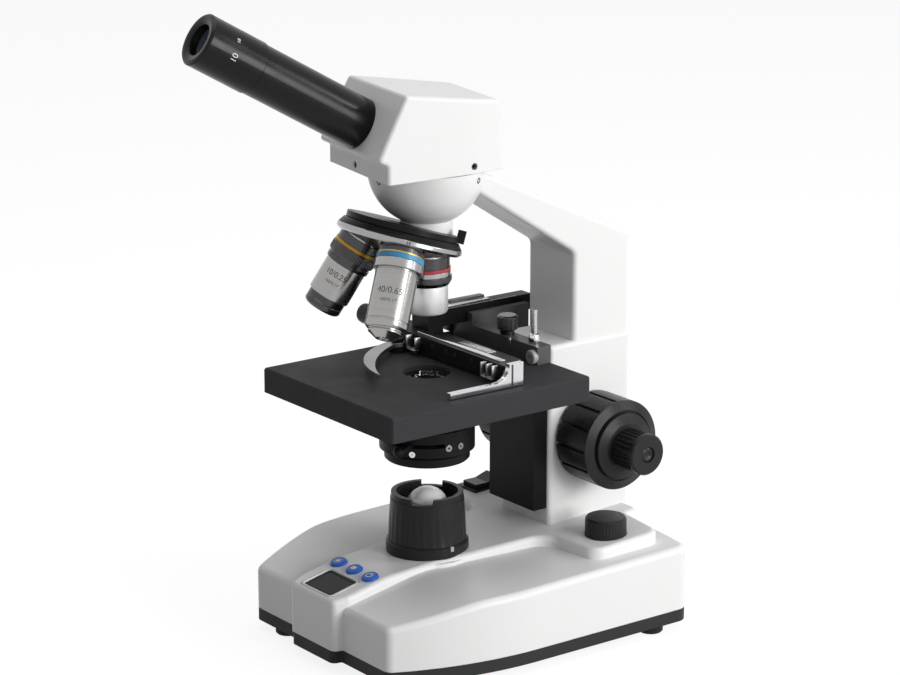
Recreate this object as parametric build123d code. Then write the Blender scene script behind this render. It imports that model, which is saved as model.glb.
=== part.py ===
from build123d import *
from math import cos, pi, radians, sin, tan
import os

# Student microscope. Lengths in millimetres, angles in degrees.
# Origin on the table under the optical axis; X to the user's right, Y to the rear, Z up.

# Fits shared by all pieces
RUN = 0.05            # running clearance on a radius or a sliding face
PLAY = 0.1            # clearance round a button or a loosely guided piece
FREE = 0.3            # gap between pieces that only pass each other
MIN_CAST = 3.0        # least cast wall around a hole
CUT = 1.0             # how far a cutting tool passes the face that it opens
EDGE = 0.8            # edge break on turned pieces
NEAR = 0.01           # two points closer than this are the same corner
FACING = 0.7          # least share of a normal that counts as facing that way
UPWARD = (Align.CENTER, Align.CENTER, Align.MIN)

# Base
FOOT_R = 6.4
FOOT_H = 5.0
FOOT_INSET = 9.0      # foot centre from the base edge
FOOT_SIDE_INSET = 15.0
FOOT_REAR_INSET = 18.0
PLATE_H = 6.5
PLATE_FLOOR = 2.5
PLATE_WALL = 3.0
HOUSING_WALL = 2.6
BASE_HALF = 75.5
FRONT_HALF = 56.9
FRONT_Y = -66.0
SIDE_Y = 12.0         # where the curved side turns straight
REAR_CORNER_Y = 110.0
REAR_Y = 116.0
NOSE_HALF = 18.5
NOSE_LENGTH = 5.1
CORNER_R = 5.0
NOSE_R = 3.4
NOSE_ROOT_R = 1.5
REAR_CORNER_R = 8.0
SHOULDER_FRONT_Z = 33.5
SHOULDER_MID_Z = 42.3
SHOULDER_MID_Y = -21.0
SHOULDER_REAR_Z = 45.0
SHOULDER_BEND_R = 90.0
SHOULDER_ROUND = 3.5
NOSE_TOP_Z = 37.2
PANEL_SLOPE = 12.4
PANEL_END_Y = -40.0
PANEL_BEND_R = 40.0
PLATEAU_REAR_Z = 52.7
SPINE_HALF = 20.8
SPINE_FRONT_Y = -63.0 # where the spine has its full width
SPINE_WAIST_Y = -14.0
SPINE_REAR_HALF = 28.1
SPINE_REAR_Y = 53.6
PAD_INSET = 11.5
PAD_FRONT_Y = 57.5
PAD_REAR_Y = 100.0
TAIL_HALF = 32.0
TAIL_Y = 113.0
SPINE_BLEND_R = 12.0
PAD_CORNER_R = 8.0
SPINE_ROUND = 2.6
PLATE_SCREW_R = 2.0
PLATE_SCREW_HEAD_R = 3.8
PLATE_SCREW_HEAD_H = 1.6
BOSS_R = 5.0
BOSS_FRONT = (44.0, -40.0)
BOSS_INSET = 15.5
BOSS_REAR_Y = 40.0

# Controls on the base
DISPLAY_Y = -59.6
DISPLAY_W = 24.0
DISPLAY_L = 17.0
DISPLAY_R = 2.0
DISPLAY_T = 1.3
DISPLAY_SUNK = 0.5
DISPLAY_RIM = 1.2
DISPLAY_LIP = 2.0
BUTTON_Y = -45.0
BUTTON_R = 4.3
BUTTON_PITCH = 13.5
BUTTON_PROUD = 1.6
BUTTON_TRAVEL = 1.0
BUTTON_STEM_R = 2.0
BOARD_HALF = 14.5
BOARD_T = 1.6
SWITCH_CAP = 4.0
KNOB_INSET = 26.9
KNOB_Y = 76.5
KNOB_R = 10.5
KNOB_H = 9.8
KNOB_STEM_R = 3.0
KNOB_STEM_L = 14.0
POT_SIZE = 16.0
POT_H = 8.0
POT_SLEEVE_R = 4.5
ROCKER_INSET = 24.5
ROCKER_Y = 74.0
ROCKER_W = 11.0
ROCKER_L = 16.4
ROCKER_TIP = 9.0      # tilt of the rocker either way
ROCKER_RISE = 2.0
ROCKER_KEEL = 3.0
BEZEL_W = 15.0
BEZEL_L = 21.0
BEZEL_H = 1.6
SWITCH_DEPTH = 14.0
SWITCH_WALL = 1.4
ROCKER_PIN_R = 1.0
INLET_X = 40.0
INLET_Z = 24.0
INLET_FLANGE_R = 6.0
INLET_BARREL_R = 4.5
INLET_L = 14.0
INLET_FLANGE_T = 2.0
INLET_END = 3.0       # closed end of the socket
INLET_BORE_R = 2.8
INLET_PIN_R = 1.0

# Lamp
LAMP_SEAT_Z = 44.5
LAMP_TOP_Z = 75.9
LAMP_COLLAR_R = 20.9
LAMP_COLLAR_H = 6.8
LAMP_FOOT_R = 19.5
LAMP_RIM_R = 18.2
LAMP_BORE_R = 8.5
LAMP_CUP_R = 15.6
LAMP_CUP_Z = 70.0
LAMP_NOTCH_W = 11.0
LAMP_NOTCH_H = 2.6
LAMP_NOTCH_TURN = 45.0
LENS_R = 10.2
LENS_RISE = 6.4
LENS_EDGE = 1.4
LED_H = 4.0
LED_R = 3.0

# Arm
ARM_HALF = 18.8
BLOCK_HALF = 20.1
BLOCK_FRONT_Y = 62.4
POST_FRONT_Y = 78.6
ARM_REAR_Y = 114.7
ARM_SEAT_Z = 48.5
BLOCK_TOP_Z = 144.6
BEAM_LOW_DROP = 51.5  # underside of the beam at the post, below the seat of the head
BEAM_FRONT_DROP = 12.5 # underside of the beam at the bowl, below the seat of the head
BEAM_FRONT_Y = 17.5
BEAM_TOP_DROP = 45.5  # top of the beam at the rear, below the seat of the head
BEAM_TOP_Y = 15.3     # where the beam top meets the seat of the head
HEAD_SEAT_RISE = 44.4 # seat of the head above the objective's shoulder
BOWL_R = 29.1
NECK_R = 13.0
ARM_ROUND = 2.5
ARM_INNER_R = 5.0
ARM_OUTER_R = 4.0
LIGHT_R = 9.0         # clear way for light through arm, nosepiece and head
ARM_BOLT_R = 3.0
ARM_BOLT_HEAD_R = 5.0
ARM_BOLT_HEAD_H = 5.0
ARM_BOLT_DEPTH = 14.0
ARM_BOLT_X = 16.3
ARM_BOLT_FRONT_Y = 70.0
ARM_BOLT_REAR_Y = 104.0
SEAT_BLOCK_H = 9.0

# Focus drive
CHANNEL_HALF = 12.5
CHANNEL_REAR_Y = 97.0
CHANNEL_LOW_Z = 54.0
CHANNEL_TOP_Z = 136.5
SLIDE_FRONT_HALF = 6.0
SLIDE_REAR_HALF = 9.0
SLIDE_T = 13.0
SLIDE_LOW_Z = 64.0
SLIDE_TOP_Z = 118.0
AXLE_Z = 94.1
GEAR_TIP = 0.7        # tooth height outside the pitch line, in modules
GEAR_ROOT = 1.1       # tooth depth inside the pitch line, in modules
GEAR_LEAN = 20.0
GEAR_ROOT_EASE = 0.8  # share of the flank's lean kept at a pinion tooth's root
GEAR_TIP_EASE = 1.5   # extra lean at a pinion tooth's tip
GEAR_MODULE = 1.0
GEAR_TEETH = 12
AXLE_Y = 88.8
BACKLASH = 0.45
RACK_HALF = 5.0
RACK_LOW_Z = 72.0
RACK_TOP_Z = 114.0
SHAFT_R = 5.0
SHAFT_SUNK = 1.4      # end of the coarse shaft below the face of its knob
FINE_SHAFT_R = 3.0
FINE_SHAFT_SUNK = 4.1
BUSH_R = 7.0
BUSH_FLANGE_R = 9.0
BUSH_FLANGE_T = 1.3
COARSE_R = 23.3
COARSE_END = 49.4
COARSE_RIM_END = 44.5
COARSE_BEVEL = 1.8
COARSE_STEP_L = 1.2
COARSE_STEP_R = 18.4
COARSE_NOSE_R = 17.2
COARSE_FACE_R = 12.2
COARSE_CONE = 1.6
COARSE_GROOVES = 13
COARSE_GROOVE_W = 1.8
COARSE_GROOVE_D = 1.4
FINE_R = 10.6
FINE_NECK_R = 9.6
FINE_END = 66.1
FINE_HEAD_L = 4.0
FINE_RECESS_R = 4.2
FINE_RECESS_D = 1.2

# Stage and condenser
STAGE_HALF = 55.0
STAGE_FRONT_Y = -61.0
STAGE_REAR_Y = 60.0
STAGE_TOP_Z = 137.8
STAGE_T = 12.6
STAGE_SKIN = 4.5
STAGE_RIM = 5.0
STAGE_BOSS_R = 30.0
STAGE_HOLE_R = 12.0
STAGE_CHAMFER = 0.9
BRACKET_HALF = 18.2
BRACKET_T = 8.5
BRACKET_LOW_Z = 58.7
SHELF_FRONT_Y = 38.0
SHELF_T = 8.0
TONGUE_HALF = 3.0
TONGUE_L = 5.0
TONGUE_LOW_Z = 82.0
TONGUE_TOP_Z = 106.0
FINE_TRAVEL = 0.9
STAGE_SCREW_R = 2.0
STAGE_SCREW_L = 16.0
STAGE_SCREW_HEAD_R = 3.5
STAGE_SCREW_HEAD_H = 3.5
STAGE_SCREW_X = 12.0
STAGE_SCREW_Y = (42.0, 49.0)
HOLDER_R = 24.5
HOLDER_H = 12.7
BARREL_R = 18.5
TOP_LENS_R = 9.8
TOP_LENS_H = 5.0
TOP_LENS_WALL = 1.4
CONDENSER_SUNK = 2.2
IRIS_BODY_R = 24.0
IRIS_BODY_H = 12.4
IRIS_RING_R = 19.2
IRIS_RING_T = 2.0
IRIS_LEVER_TIP = 35.0
IRIS_LEVER_W = 4.0
IRIS_LEVER_AZ = -60.0
IRIS_SWING = 35.0
IRIS_SPARE = 10.0     # slot beyond the lever at each end, in degrees
IRIS_BALL_R = 2.6
SNOUT_R = 16.5
SNOUT_H = 1.2
FILTER_R = 21.5
FILTER_BORE_R = 16.2
FILTER_T = 4.4
FILTER_LIP = 1.6
FILTER_PIVOT_AZ = 150.0
FILTER_PIN_R = 1.5
CLAMP_SCREW_AZ = -30.0
CLAMP_SCREW_R = 1.5
CLAMP_HEAD_R = 3.0
CLAMP_HEAD_L = 6.0

# Slide mover on the stage
CLAMP_FRONT_Y = 51.0
CLAMP_REAR_Y = 59.5
CLAMP_RIGHT_X = 24.0
CLAMP_H = 9.2
YRAIL_X = -38.0
YRAIL_HALF = 4.0
YRAIL_LOW_Z = 148.0
YRAIL_H = 8.5
YRAIL_REAR_Y = 92.5
GUIDE_WALL = 4.0
GUIDE_TOP_Z = 153.0
GUIDE_REAR_Y = 88.0
MOVER_MODULE = 0.5
MOVER_TEETH = 12
MOVER_BACKLASH = 0.3
YKNOB_R = 7.0
YKNOB_L = 10.0
MOVER_SHAFT_R = 2.0
THUMB_X = -6.0
THUMB_R = 5.2
THUMB_H = 10.0
THUMB_NECK_R = 3.7
THUMB_NECK_H = 2.0
THUMB_SHANK_R = 2.0
PIN_X = 16.0
PIN_R = 1.6
PIN_H = 17.5
PIN_COLLAR_R = 2.6
PIN_COLLAR_H = 2.0
XRAIL_FRONT_Y = 23.8
XRAIL_REAR_Y = 32.5
XRAIL_H = 7.5
XRAIL_LIFT = 1.2
XRAIL_LEFT = -84.0
XRAIL_RIGHT = 35.0
GROOVE_H = 3.0
GROOVE_D = 3.2
XSCREW_R = 1.8
XSCREW_BEHIND = 5.8   # screw axis behind the rail front
XKNOB_R = 5.2
XKNOB_L = 11.0
RISER_L = 9.5
RISER_HALF = 7.0
HOLDER_LEFT = -44.0
HOLDER_RIGHT = 44.6
HOLDER_BAR_T = 8.2
HOLDER_BAR_H = 9.5
HOLDER_LIFT = 0.5
TONGUE_LEFT = -25.0
STOP_T = 3.0
STOP_FRONT_Y = -21.0
STOP_STRIP_H = 3.0
STOP_PLATE_H = 11.5
STOP_CURVE_R = 11.0
FINGER_X = -39.0
FINGER_Y = 10.2
FINGER_EAR_R = 4.6
FINGER_EAR_T = 2.5
FINGER_T = 2.0
FINGER_PIN_R = 2.0
FINGER_HEAD_R = 3.2
FINGER_HEAD_H = 1.6
FINGER_ROOT = 0.6     # half-width of the finger at its ring, in ring radii
FINGER_TIP = (5.3, -32.5)
FINGER_OUTER = (-22.5, -22.5)
FINGER_INNER = (-17.5, -18.5)

# Nosepiece and objectives
TURRET_TILT = 18.0
OBJECTIVE_ROOM = 60.0 # stage to the shoulder of the objective in use
OBJ_CIRCLE_R = 18.9
TURRET_R = 31.3
TURRET_TOP_R = 28.6
TURRET_SKIRT_H = 2.6
TURRET_CONE_R = 29.0
TURRET_RING_T = 6.0
TURRET_FLAT_R = 8.0
CONE_TOP = 3.4        # height of the cone's top above the shoulder circle
MOUNT_R = 28.0
MOUNT_T = 2.9
HUB_R = 5.0
TAB_W = 5.0
TAB_L = 4.0
TAB_H = 6.5
TAB_AZ = 53.0
TAB_OUT = 1.0
THREAD_R = 10.16
THREAD_L = 4.0
ANGLE_4X = 0.0
ANGLE_10X = 240.0
ANGLE_40X = 120.0
FREE_4X = 31.1        # stage to the front of each objective
FREE_10X = 20.0
FREE_40X = 15.6
OBJ_COLLAR_R = 12.0
OBJ_COLLAR_L = 5.5
OBJ_GROOVE = 0.5
OBJ_BARREL_R = 10.5
OBJ_LENS_T = 1.5
OBJ_WALL = 1.2
NOSE_4X = (9.6, 1.5)   # end radius and taper length
NOSE_10X = (8.8, 6.5)
NOSE_40X = (4.2, 7.5)

# Head and eyepiece
HEAD_TURN = -8.8
HEAD_FRONT = 37.3
HEAD_HALF = 32.3
HEAD_WAIST = (27.9, 12.3)
HEAD_WAIST_R = 60.0
HEAD_TAIL = (24.5, 29.8)
HEAD_FLANGE_H = 9.0
HEAD_LIP = (42.6, 11.6)
HEAD_BROW = (26.8, 42.1)
HEAD_REAR_H = 34.5
HEAD_REAR_LEAN = 3.0
HEAD_WALL = 3.0
HEAD_ROUND = 2.0
SPIGOT_R = 17.0
SPIGOT_H = 6.0
TUBE_TILT = 30.0
TUBE_FACE = (34.9, 23.3)   # where the tube axis leaves the slanted front
TUBE_R = 12.75
TUBE_BORE_R = 11.63
TUBE_OUT = 66.0
TUBE_IN = 16.0
EYEPIECE_R = 11.6
EYEPIECE_IN = 34.0
EYEPIECE_HEAD_L = 31.4
EYEPIECE_HEAD_R = 13.2
EYEPIECE_WALL = 1.3
EYE_RECESS = 5.0
EYE_RECESS_R = 9.5
EYE_LENS_R = 8.0
EYE_LENS_T = 4.0
EYE_STEP = 2.0
PRISM_HALF = 10.0
PRISM_BASE = 3.2
PRISM_H = 20.0
GRUB_R = 1.7
GRUB_L = 4.0
GRUB_Z = 3.6
GRUB_FRONT_X = -3.0
GRUB_SIDE_Y = 11.5

# Places worked out from the driving sizes
HOUSING_Z = FOOT_H + PLATE_H
PAD_HALF = BASE_HALF - PAD_INSET
KNOB_X = BASE_HALF - KNOB_INSET
ROCKER_X = ROCKER_INSET - BASE_HALF
BOSS_REAR = (BASE_HALF - BOSS_INSET, BOSS_REAR_Y)
SHAFT_HALF = COARSE_END - SHAFT_SUNK
FINE_SHAFT_HALF = FINE_END - FINE_SHAFT_SUNK
SHOULDER_Z = STAGE_TOP_Z + OBJECTIVE_ROOM
HEAD_SEAT_Z = SHOULDER_Z + HEAD_SEAT_RISE
BEAM_LOW_Z = HEAD_SEAT_Z - BEAM_LOW_DROP
BEAM_FRONT_Z = HEAD_SEAT_Z - BEAM_FRONT_DROP
BEAM_TOP_Z = HEAD_SEAT_Z - BEAM_TOP_DROP
LENGTH_4X = OBJECTIVE_ROOM - FREE_4X
LENGTH_10X = OBJECTIVE_ROOM - FREE_10X
LENGTH_40X = OBJECTIVE_ROOM - FREE_40X
NOSE_Y = FRONT_Y - NOSE_LENGTH
STAGE_LOW_Z = STAGE_TOP_Z - STAGE_T
BRACKET_REAR_Y = BLOCK_FRONT_Y - FREE
SLIDE_FRONT_Y = BLOCK_FRONT_Y + FREE
SLIDE_REAR_Y = SLIDE_FRONT_Y + SLIDE_T
COARSE_START = BLOCK_HALF + BUSH_FLANGE_T + FREE
BARREL_LOW_Z = STAGE_LOW_Z - HOLDER_H
IRIS_TOP_Z = BARREL_LOW_Z - FREE
IRIS_LOW_Z = IRIS_TOP_Z - IRIS_BODY_H
SNOUT_LOW_Z = IRIS_LOW_Z - SNOUT_H
FILTER_TOP_Z = SNOUT_LOW_Z - FREE
FILTER_LOW_Z = FILTER_TOP_Z - FILTER_T
XRAIL_LOW_Z = STAGE_TOP_Z + XRAIL_LIFT
XRAIL_TOP_Z = XRAIL_LOW_Z + XRAIL_H
GROOVE_Z = XRAIL_LOW_Z + XRAIL_H / 2
HOLDER_LOW_Z = STAGE_TOP_Z + HOLDER_LIFT
HOLDER_REAR_Y = XRAIL_FRONT_Y - FREE
HOLDER_FRONT_Y = HOLDER_REAR_Y - HOLDER_BAR_T
RISER_REAR_Y = XRAIL_FRONT_Y + RISER_L
YRAIL_TOP_Z = YRAIL_LOW_Z + YRAIL_H
CLAMP_MID_Y = (CLAMP_FRONT_Y + CLAMP_REAR_Y) / 2


def plateau_z(y):
    """Height of the sloping top of the spine."""
    bend_z = NOSE_TOP_Z + (PANEL_END_Y - NOSE_Y) * tan(radians(PANEL_SLOPE))
    return bend_z + (y - PANEL_END_Y) * (PLATEAU_REAR_Z - bend_z) / (REAR_Y - PANEL_END_Y)


def shoulder_z(y):
    """Height of the shoulders beside the spine."""
    if y < SHOULDER_MID_Y:
        slope = (SHOULDER_MID_Z - SHOULDER_FRONT_Z) / (SHOULDER_MID_Y - FRONT_Y)
    else:
        slope = (SHOULDER_REAR_Z - SHOULDER_MID_Z) / (REAR_Y - SHOULDER_MID_Y)
    return SHOULDER_MID_Z + (y - SHOULDER_MID_Y) * slope


def panel_plane(y):
    """Plane on the sloped control panel, normal outwards, local y up the slope."""
    slope = radians(PANEL_SLOPE)
    height = NOSE_TOP_Z + (y - NOSE_Y) * tan(slope)
    return Plane(origin=(0, y, height), x_dir=(1, 0, 0), z_dir=(0, -sin(slope), cos(slope)))


def block(x0, x1, y0, y1, z0, z1):
    """Box between two opposite corners."""
    return Pos(x0, y0, z0) * Box(x1 - x0, y1 - y0, z1 - z0, align=(Align.MIN,) * 3)


def rod(radius, start, direction, length):
    """Round bar from a point along a direction."""
    return Plane(origin=start, z_dir=direction) * Cylinder(radius, length, align=UPWARD)


def post(radius, x, y, z0, z1):
    """Upright round bar between two heights."""
    return rod(radius, (x, y, z0), (0, 0, 1), z1 - z0)


def turned(corners, plane=Plane.XY):
    """Turned piece from (radius, height) corners about the plane's own normal."""
    outline = Polyline(*[(r, 0, h) for r, h in corners], close=True)
    return plane * revolve(make_face(outline), Axis.Z)


def polygon(corners, rounds=()):
    """Flat face with some corners rounded; a round is (corner, radius)."""
    face = make_face(Polyline(*corners, close=True))
    for (x, y), radius in rounds:
        near = [v for v in face.vertices() if abs(v.X - x) + abs(v.Y - y) < NEAR]
        face = fillet(near, radius)
    return face


def side_prism(corners, half_width, rounds=()):
    """Side view given as (y, z) corners, carried across the middle plane."""
    return extrude(Plane.YZ * polygon(corners, rounds), half_width, both=True)


def upright(face, z0, z1):
    """Plan view raised between two heights."""
    return extrude(Pos(0, 0, z0) * face, z1 - z0, dir=(0, 0, 1))


def both_sides(corners):
    """Right-hand plan corners, front to rear, closed by their mirror image."""
    return corners + [(-x, y) for x, y in reversed(corners)]


def mirrored_rounds(rounds):
    """Rounds for both sides of a symmetric plan."""
    return [((sign * x, y), radius) for (x, y), radius in rounds for sign in (1, -1)]


def fuse(pieces):
    """One solid from pieces that meet."""
    result = pieces[0]
    for piece in pieces[1:]:
        result = result + piece
    return result


def polar(radius, azimuth):
    """Plan point at a radius and azimuth about the optical axis."""
    return radius * cos(radians(azimuth)), radius * sin(radians(azimuth))


def tooth(pitch_r, module, backlash):
    """Gear tooth pointing along +x, thinned for backlash."""
    half = pi * module / 4 - backlash / 2
    tip, root = GEAR_TIP * module, GEAR_ROOT * module
    lean = tan(radians(GEAR_LEAN))
    tip_half, root_half = half - tip * lean * GEAR_TIP_EASE, half + root * lean * GEAR_ROOT_EASE
    foot = pitch_r - root - module / 2
    return polygon([
        (foot, -root_half), (pitch_r - root, -root_half), (pitch_r + tip, -tip_half), (pitch_r + tip,
        tip_half),
        (pitch_r - root, root_half), (foot, root_half),
    ])


def pinion(teeth, module, backlash, half_width, plane):
    """Pinion about the plane's normal with a tooth along the plane's x."""
    pitch_r = teeth * module / 2
    body = Cylinder(pitch_r - GEAR_ROOT * module, 2 * half_width)
    one = Pos(0, 0, -half_width) * extrude(tooth(pitch_r, module, backlash), 2 * half_width)
    return plane * fuse([body] + [Rot(0, 0, 360 / teeth * i) * one for i in range(teeth)])


def rack(length, module, backlash, half_width, back, plane):
    """Rack along the plane's y with teeth towards -x and a gap on the plane's x axis."""
    half = pi * module / 4 - backlash / 2
    tip, root = GEAR_TIP * module, GEAR_ROOT * module
    lean = tan(radians(GEAR_LEAN))
    bar = Pos(root + back / 2, 0, 0) * Box(back, length, 2 * half_width)
    face = polygon([
        (root, -half - root * lean), (-tip, -half + tip * lean),
        (-tip, half - tip * lean), (root, half + root * lean),
    ])
    one = Pos(0, 0, -half_width) * extrude(face, 2 * half_width)
    pitch = pi * module
    count = int((length / 2 - pitch) / pitch)
    places = [sign * (i + 0.5) * pitch for i in range(count) for sign in (1, -1)]
    return plane * fuse([bar] + [Pos(0, y, 0) * one for y in places])


# Base

def inner_round(radius, inset):
    """Corner radius of an outline moved inwards."""
    return max(radius - inset, FREE)


def base_outline(inset=0.0):
    """Plan of the base with its front nose, moved inwards by the inset."""
    half, front_half = BASE_HALF - inset, FRONT_HALF - inset
    front, nose_half = FRONT_Y + inset, NOSE_HALF - inset
    corner_y, rear_y = REAR_CORNER_Y - inset, REAR_Y - inset
    edges = [
        Line((-front_half, front), (front_half, front)), Line((half, SIDE_Y), (half, corner_y)),
        TangentArc((half, SIDE_Y), (front_half, front), tangent=(0, -1)),
        TangentArc((-half, SIDE_Y), (-front_half, front), tangent=(0, -1)),
        ThreePointArc((half, corner_y), (0, rear_y), (-half, corner_y)), Line((-half, SIDE_Y), (-half,
        corner_y)),
    ]
    plan = make_face(edges) + Pos(0, front) * Rectangle(2 * nose_half, 2 * NOSE_LENGTH)
    rounds = mirrored_rounds([
        ((nose_half, front - NOSE_LENGTH), inner_round(NOSE_R, inset)), ((nose_half, front), NOSE_ROOT_R),
        ((front_half, front), inner_round(CORNER_R, inset)), ((half, corner_y),
        inner_round(REAR_CORNER_R, inset)),
    ])
    slab = extrude(plan, CUT)
    for (x, y), radius in rounds:
        near = [e for e in slab.edges() if abs(e.center().X - x) + abs(e.center().Y - y) < NEAR]
        slab = fillet(near, radius)
    return make_face(slab.faces().sort_by(Axis.Z)[0].outer_wire().edges())


def spine_outline(inset=0.0):
    """Plan of the raised spine with its two knob pads, moved inwards by the inset."""
    nose = (NOSE_HALF - inset, NOSE_Y + inset)
    flare = (SPINE_REAR_HALF - inset, SPINE_REAR_Y + inset)
    pad_front, pad_rear = (PAD_HALF - inset, PAD_FRONT_Y + inset), (PAD_HALF - inset, PAD_REAR_Y - inset)
    step = (TAIL_HALF - inset, PAD_REAR_Y + PAD_CORNER_R / 2 - inset)
    tail = (TAIL_HALF - inset, TAIL_Y - inset)
    half = SPINE_HALF - inset
    corners = [
        nose, (half, SPINE_FRONT_Y), (half, SPINE_WAIST_Y), flare, pad_front, pad_rear, step, tail,
    ]
    rounds = mirrored_rounds([
        (nose, inner_round(NOSE_R, inset)), (flare, SPINE_BLEND_R), (pad_front, inner_round(PAD_CORNER_R,
        inset)),
        (pad_rear, inner_round(PAD_CORNER_R, inset)), (step, PAD_CORNER_R / 4),
        (tail, inner_round(CORNER_R, inset)),
    ])
    return polygon(both_sides(corners), rounds)


def base_form(sunk, rounded):
    """Outer form of the housing, or its hollow when sunk by the wall."""
    plan, spine_plan = base_outline(sunk), spine_outline(sunk)
    far = 2 * NOSE_Y
    shoulder_top = [
        (far, -PLATEAU_REAR_Z), (far, shoulder_z(far) - sunk), (SHOULDER_MID_Y, SHOULDER_MID_Z - sunk),
        (2 * REAR_Y, shoulder_z(2 * REAR_Y) - sunk), (2 * REAR_Y, -PLATEAU_REAR_Z),
    ]
    shoulder_bend = [((SHOULDER_MID_Y, SHOULDER_MID_Z - sunk), SHOULDER_BEND_R)]
    low = HOUSING_Z - (CUT if sunk else 0)
    shoulder = upright(plan, low, PLATEAU_REAR_Z) & side_prism(shoulder_top, BASE_HALF + CUT, shoulder_bend)
    nose_z = NOSE_TOP_Z + (far - NOSE_Y) * tan(radians(PANEL_SLOPE))
    bend = (PANEL_END_Y, plateau_z(PANEL_END_Y) - sunk)
    spine_top = [
        (far, nose_z - sunk - PLATEAU_REAR_Z), (far, nose_z - sunk), bend,
        (2 * REAR_Y, plateau_z(2 * REAR_Y) - sunk), (2 * REAR_Y, nose_z - sunk - PLATEAU_REAR_Z),
    ]
    spine = upright(spine_plan, low, 2 * PLATEAU_REAR_Z)
    spine = spine & side_prism(spine_top, BASE_HALF + CUT, [(bend, PANEL_BEND_R)])
    if rounded:
        shoulder = fillet(top_edges(shoulder), SHOULDER_ROUND)
        spine = fillet(top_edges(spine), SPINE_ROUND)
    return shoulder + spine


def top_edges(solid):
    """Edges round the top of a raised plan, without those between two of its top faces."""
    edges = [e for f in solid.faces() if f.normal_at().Z > FACING for e in f.edges()]
    return [e for e in edges if sum(e.is_same(other) for other in edges) == 1]


def boss_places():
    """Plan points of the plate screws."""
    return [(sign * x, y) for x, y in (BOSS_FRONT, BOSS_REAR) for sign in (1, -1)]


def arm_bolt_places():
    """Plan points of the arm bolts."""
    return [(sign * ARM_BOLT_X, y) for y in (ARM_BOLT_FRONT_Y, ARM_BOLT_REAR_Y) for sign in (1, -1)]


def knob_seat_z():
    """Flat seat under the brightness knob."""
    return plateau_z(KNOB_Y - KNOB_R) - FREE


def switch_seat_z():
    """Flat seat under the rocker switch bezel."""
    return plateau_z(ROCKER_Y - BEZEL_L / 2) - FREE


def base_housing():
    """White cast shell with seats for the arm, lamp, panel and switches."""
    hollow = base_form(HOUSING_WALL, False)
    shell = base_form(0, True) - hollow
    seat_low = ARM_SEAT_Z - SEAT_BLOCK_H
    seat_half = BLOCK_HALF + MIN_CAST
    seat = block(-seat_half, seat_half, BLOCK_FRONT_Y, ARM_REAR_Y - MIN_CAST, seat_low, ARM_SEAT_Z)
    bosses = [post(BOSS_R, x, y, FOOT_H + PLATE_FLOOR, shoulder_z(y) - HOUSING_WALL / 2)
              for x, y in boss_places()]
    lamp_ring = post(LAMP_COLLAR_R + HOUSING_WALL, 0, 0, LAMP_SEAT_Z - HOUSING_WALL, LAMP_SEAT_Z)
    knob_pad = post(KNOB_R + HOUSING_WALL, KNOB_X, KNOB_Y, knob_seat_z() - HOUSING_WALL, knob_seat_z())
    switch_pad = block(ROCKER_X - BEZEL_W / 2 - HOUSING_WALL, ROCKER_X + BEZEL_W / 2 + HOUSING_WALL,
                       ROCKER_Y - BEZEL_L / 2 - HOUSING_WALL, ROCKER_Y + BEZEL_L / 2 + HOUSING_WALL,
                       switch_seat_z() - HOUSING_WALL, switch_seat_z())
    shell = fuse([shell, seat] + bosses + [lamp_ring, knob_pad, switch_pad])
    top = 2 * PLATEAU_REAR_Z
    shell = shell - block(-BLOCK_HALF, BLOCK_HALF, BLOCK_FRONT_Y, ARM_REAR_Y, ARM_SEAT_Z, top)
    shell = shell - post(LAMP_COLLAR_R, 0, 0, LAMP_SEAT_Z, top) - post(LAMP_BORE_R, 0, 0, seat_low - CUT, top)
    shell = shell - post(KNOB_R + FREE, KNOB_X, KNOB_Y, knob_seat_z(), top)
    shell = shell - post(POT_SLEEVE_R, KNOB_X, KNOB_Y, HOUSING_Z, top)
    shell = shell - block(ROCKER_X - BEZEL_W / 2, ROCKER_X + BEZEL_W / 2, ROCKER_Y - BEZEL_L / 2,
                          ROCKER_Y + BEZEL_L / 2, switch_seat_z(), top)
    body_w, body_l = switch_body_size()
    shell = shell - block(ROCKER_X - body_w / 2, ROCKER_X + body_w / 2, ROCKER_Y - body_l / 2,
                          ROCKER_Y + body_l / 2, HOUSING_Z, top)
    for x, y in boss_places():
        shell = shell - post(PLATE_SCREW_R, x, y, FOOT_H, SHOULDER_FRONT_Z - MIN_CAST)
    for x, y in arm_bolt_places():
        shell = shell - post(ARM_BOLT_R, x, y, seat_low - CUT, top)
    shell = shell - rod(INLET_BARREL_R, (INLET_X, REAR_CORNER_Y - INLET_L, INLET_Z), (0, 1, 0), 2 * INLET_L)
    shell = shell - rod(INLET_FLANGE_R, (INLET_X, inlet_face_y(), INLET_Z), (0, 1, 0), INLET_L)
    return shell - display_cut() - button_holes()


def inlet_face_y():
    """Flat spot on the bowed rear wall where the inlet's flange sits."""
    bow = REAR_Y - REAR_CORNER_Y
    return REAR_Y - bow * ((INLET_X + INLET_FLANGE_R) / BASE_HALF) ** 2 - FREE


def display_cut():
    """Stepped opening for the display window."""
    plane = panel_plane(DISPLAY_Y)
    depth = DISPLAY_SUNK + DISPLAY_T

    def sunk(grow, low):
        face = RectangleRounded(DISPLAY_W + 2 * grow, DISPLAY_L + 2 * grow, DISPLAY_R)
        return plane * (Pos(0, 0, low) * extrude(face, CUT - low))

    return sunk(DISPLAY_RIM, -DISPLAY_SUNK) + sunk(0, -depth) + sunk(-DISPLAY_LIP, -depth - 2 * HOUSING_WALL)


def button_places():
    """Button name and offset across the panel."""
    return [("button_left", -BUTTON_PITCH), ("button_middle", 0), ("button_right", BUTTON_PITCH)]


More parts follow.
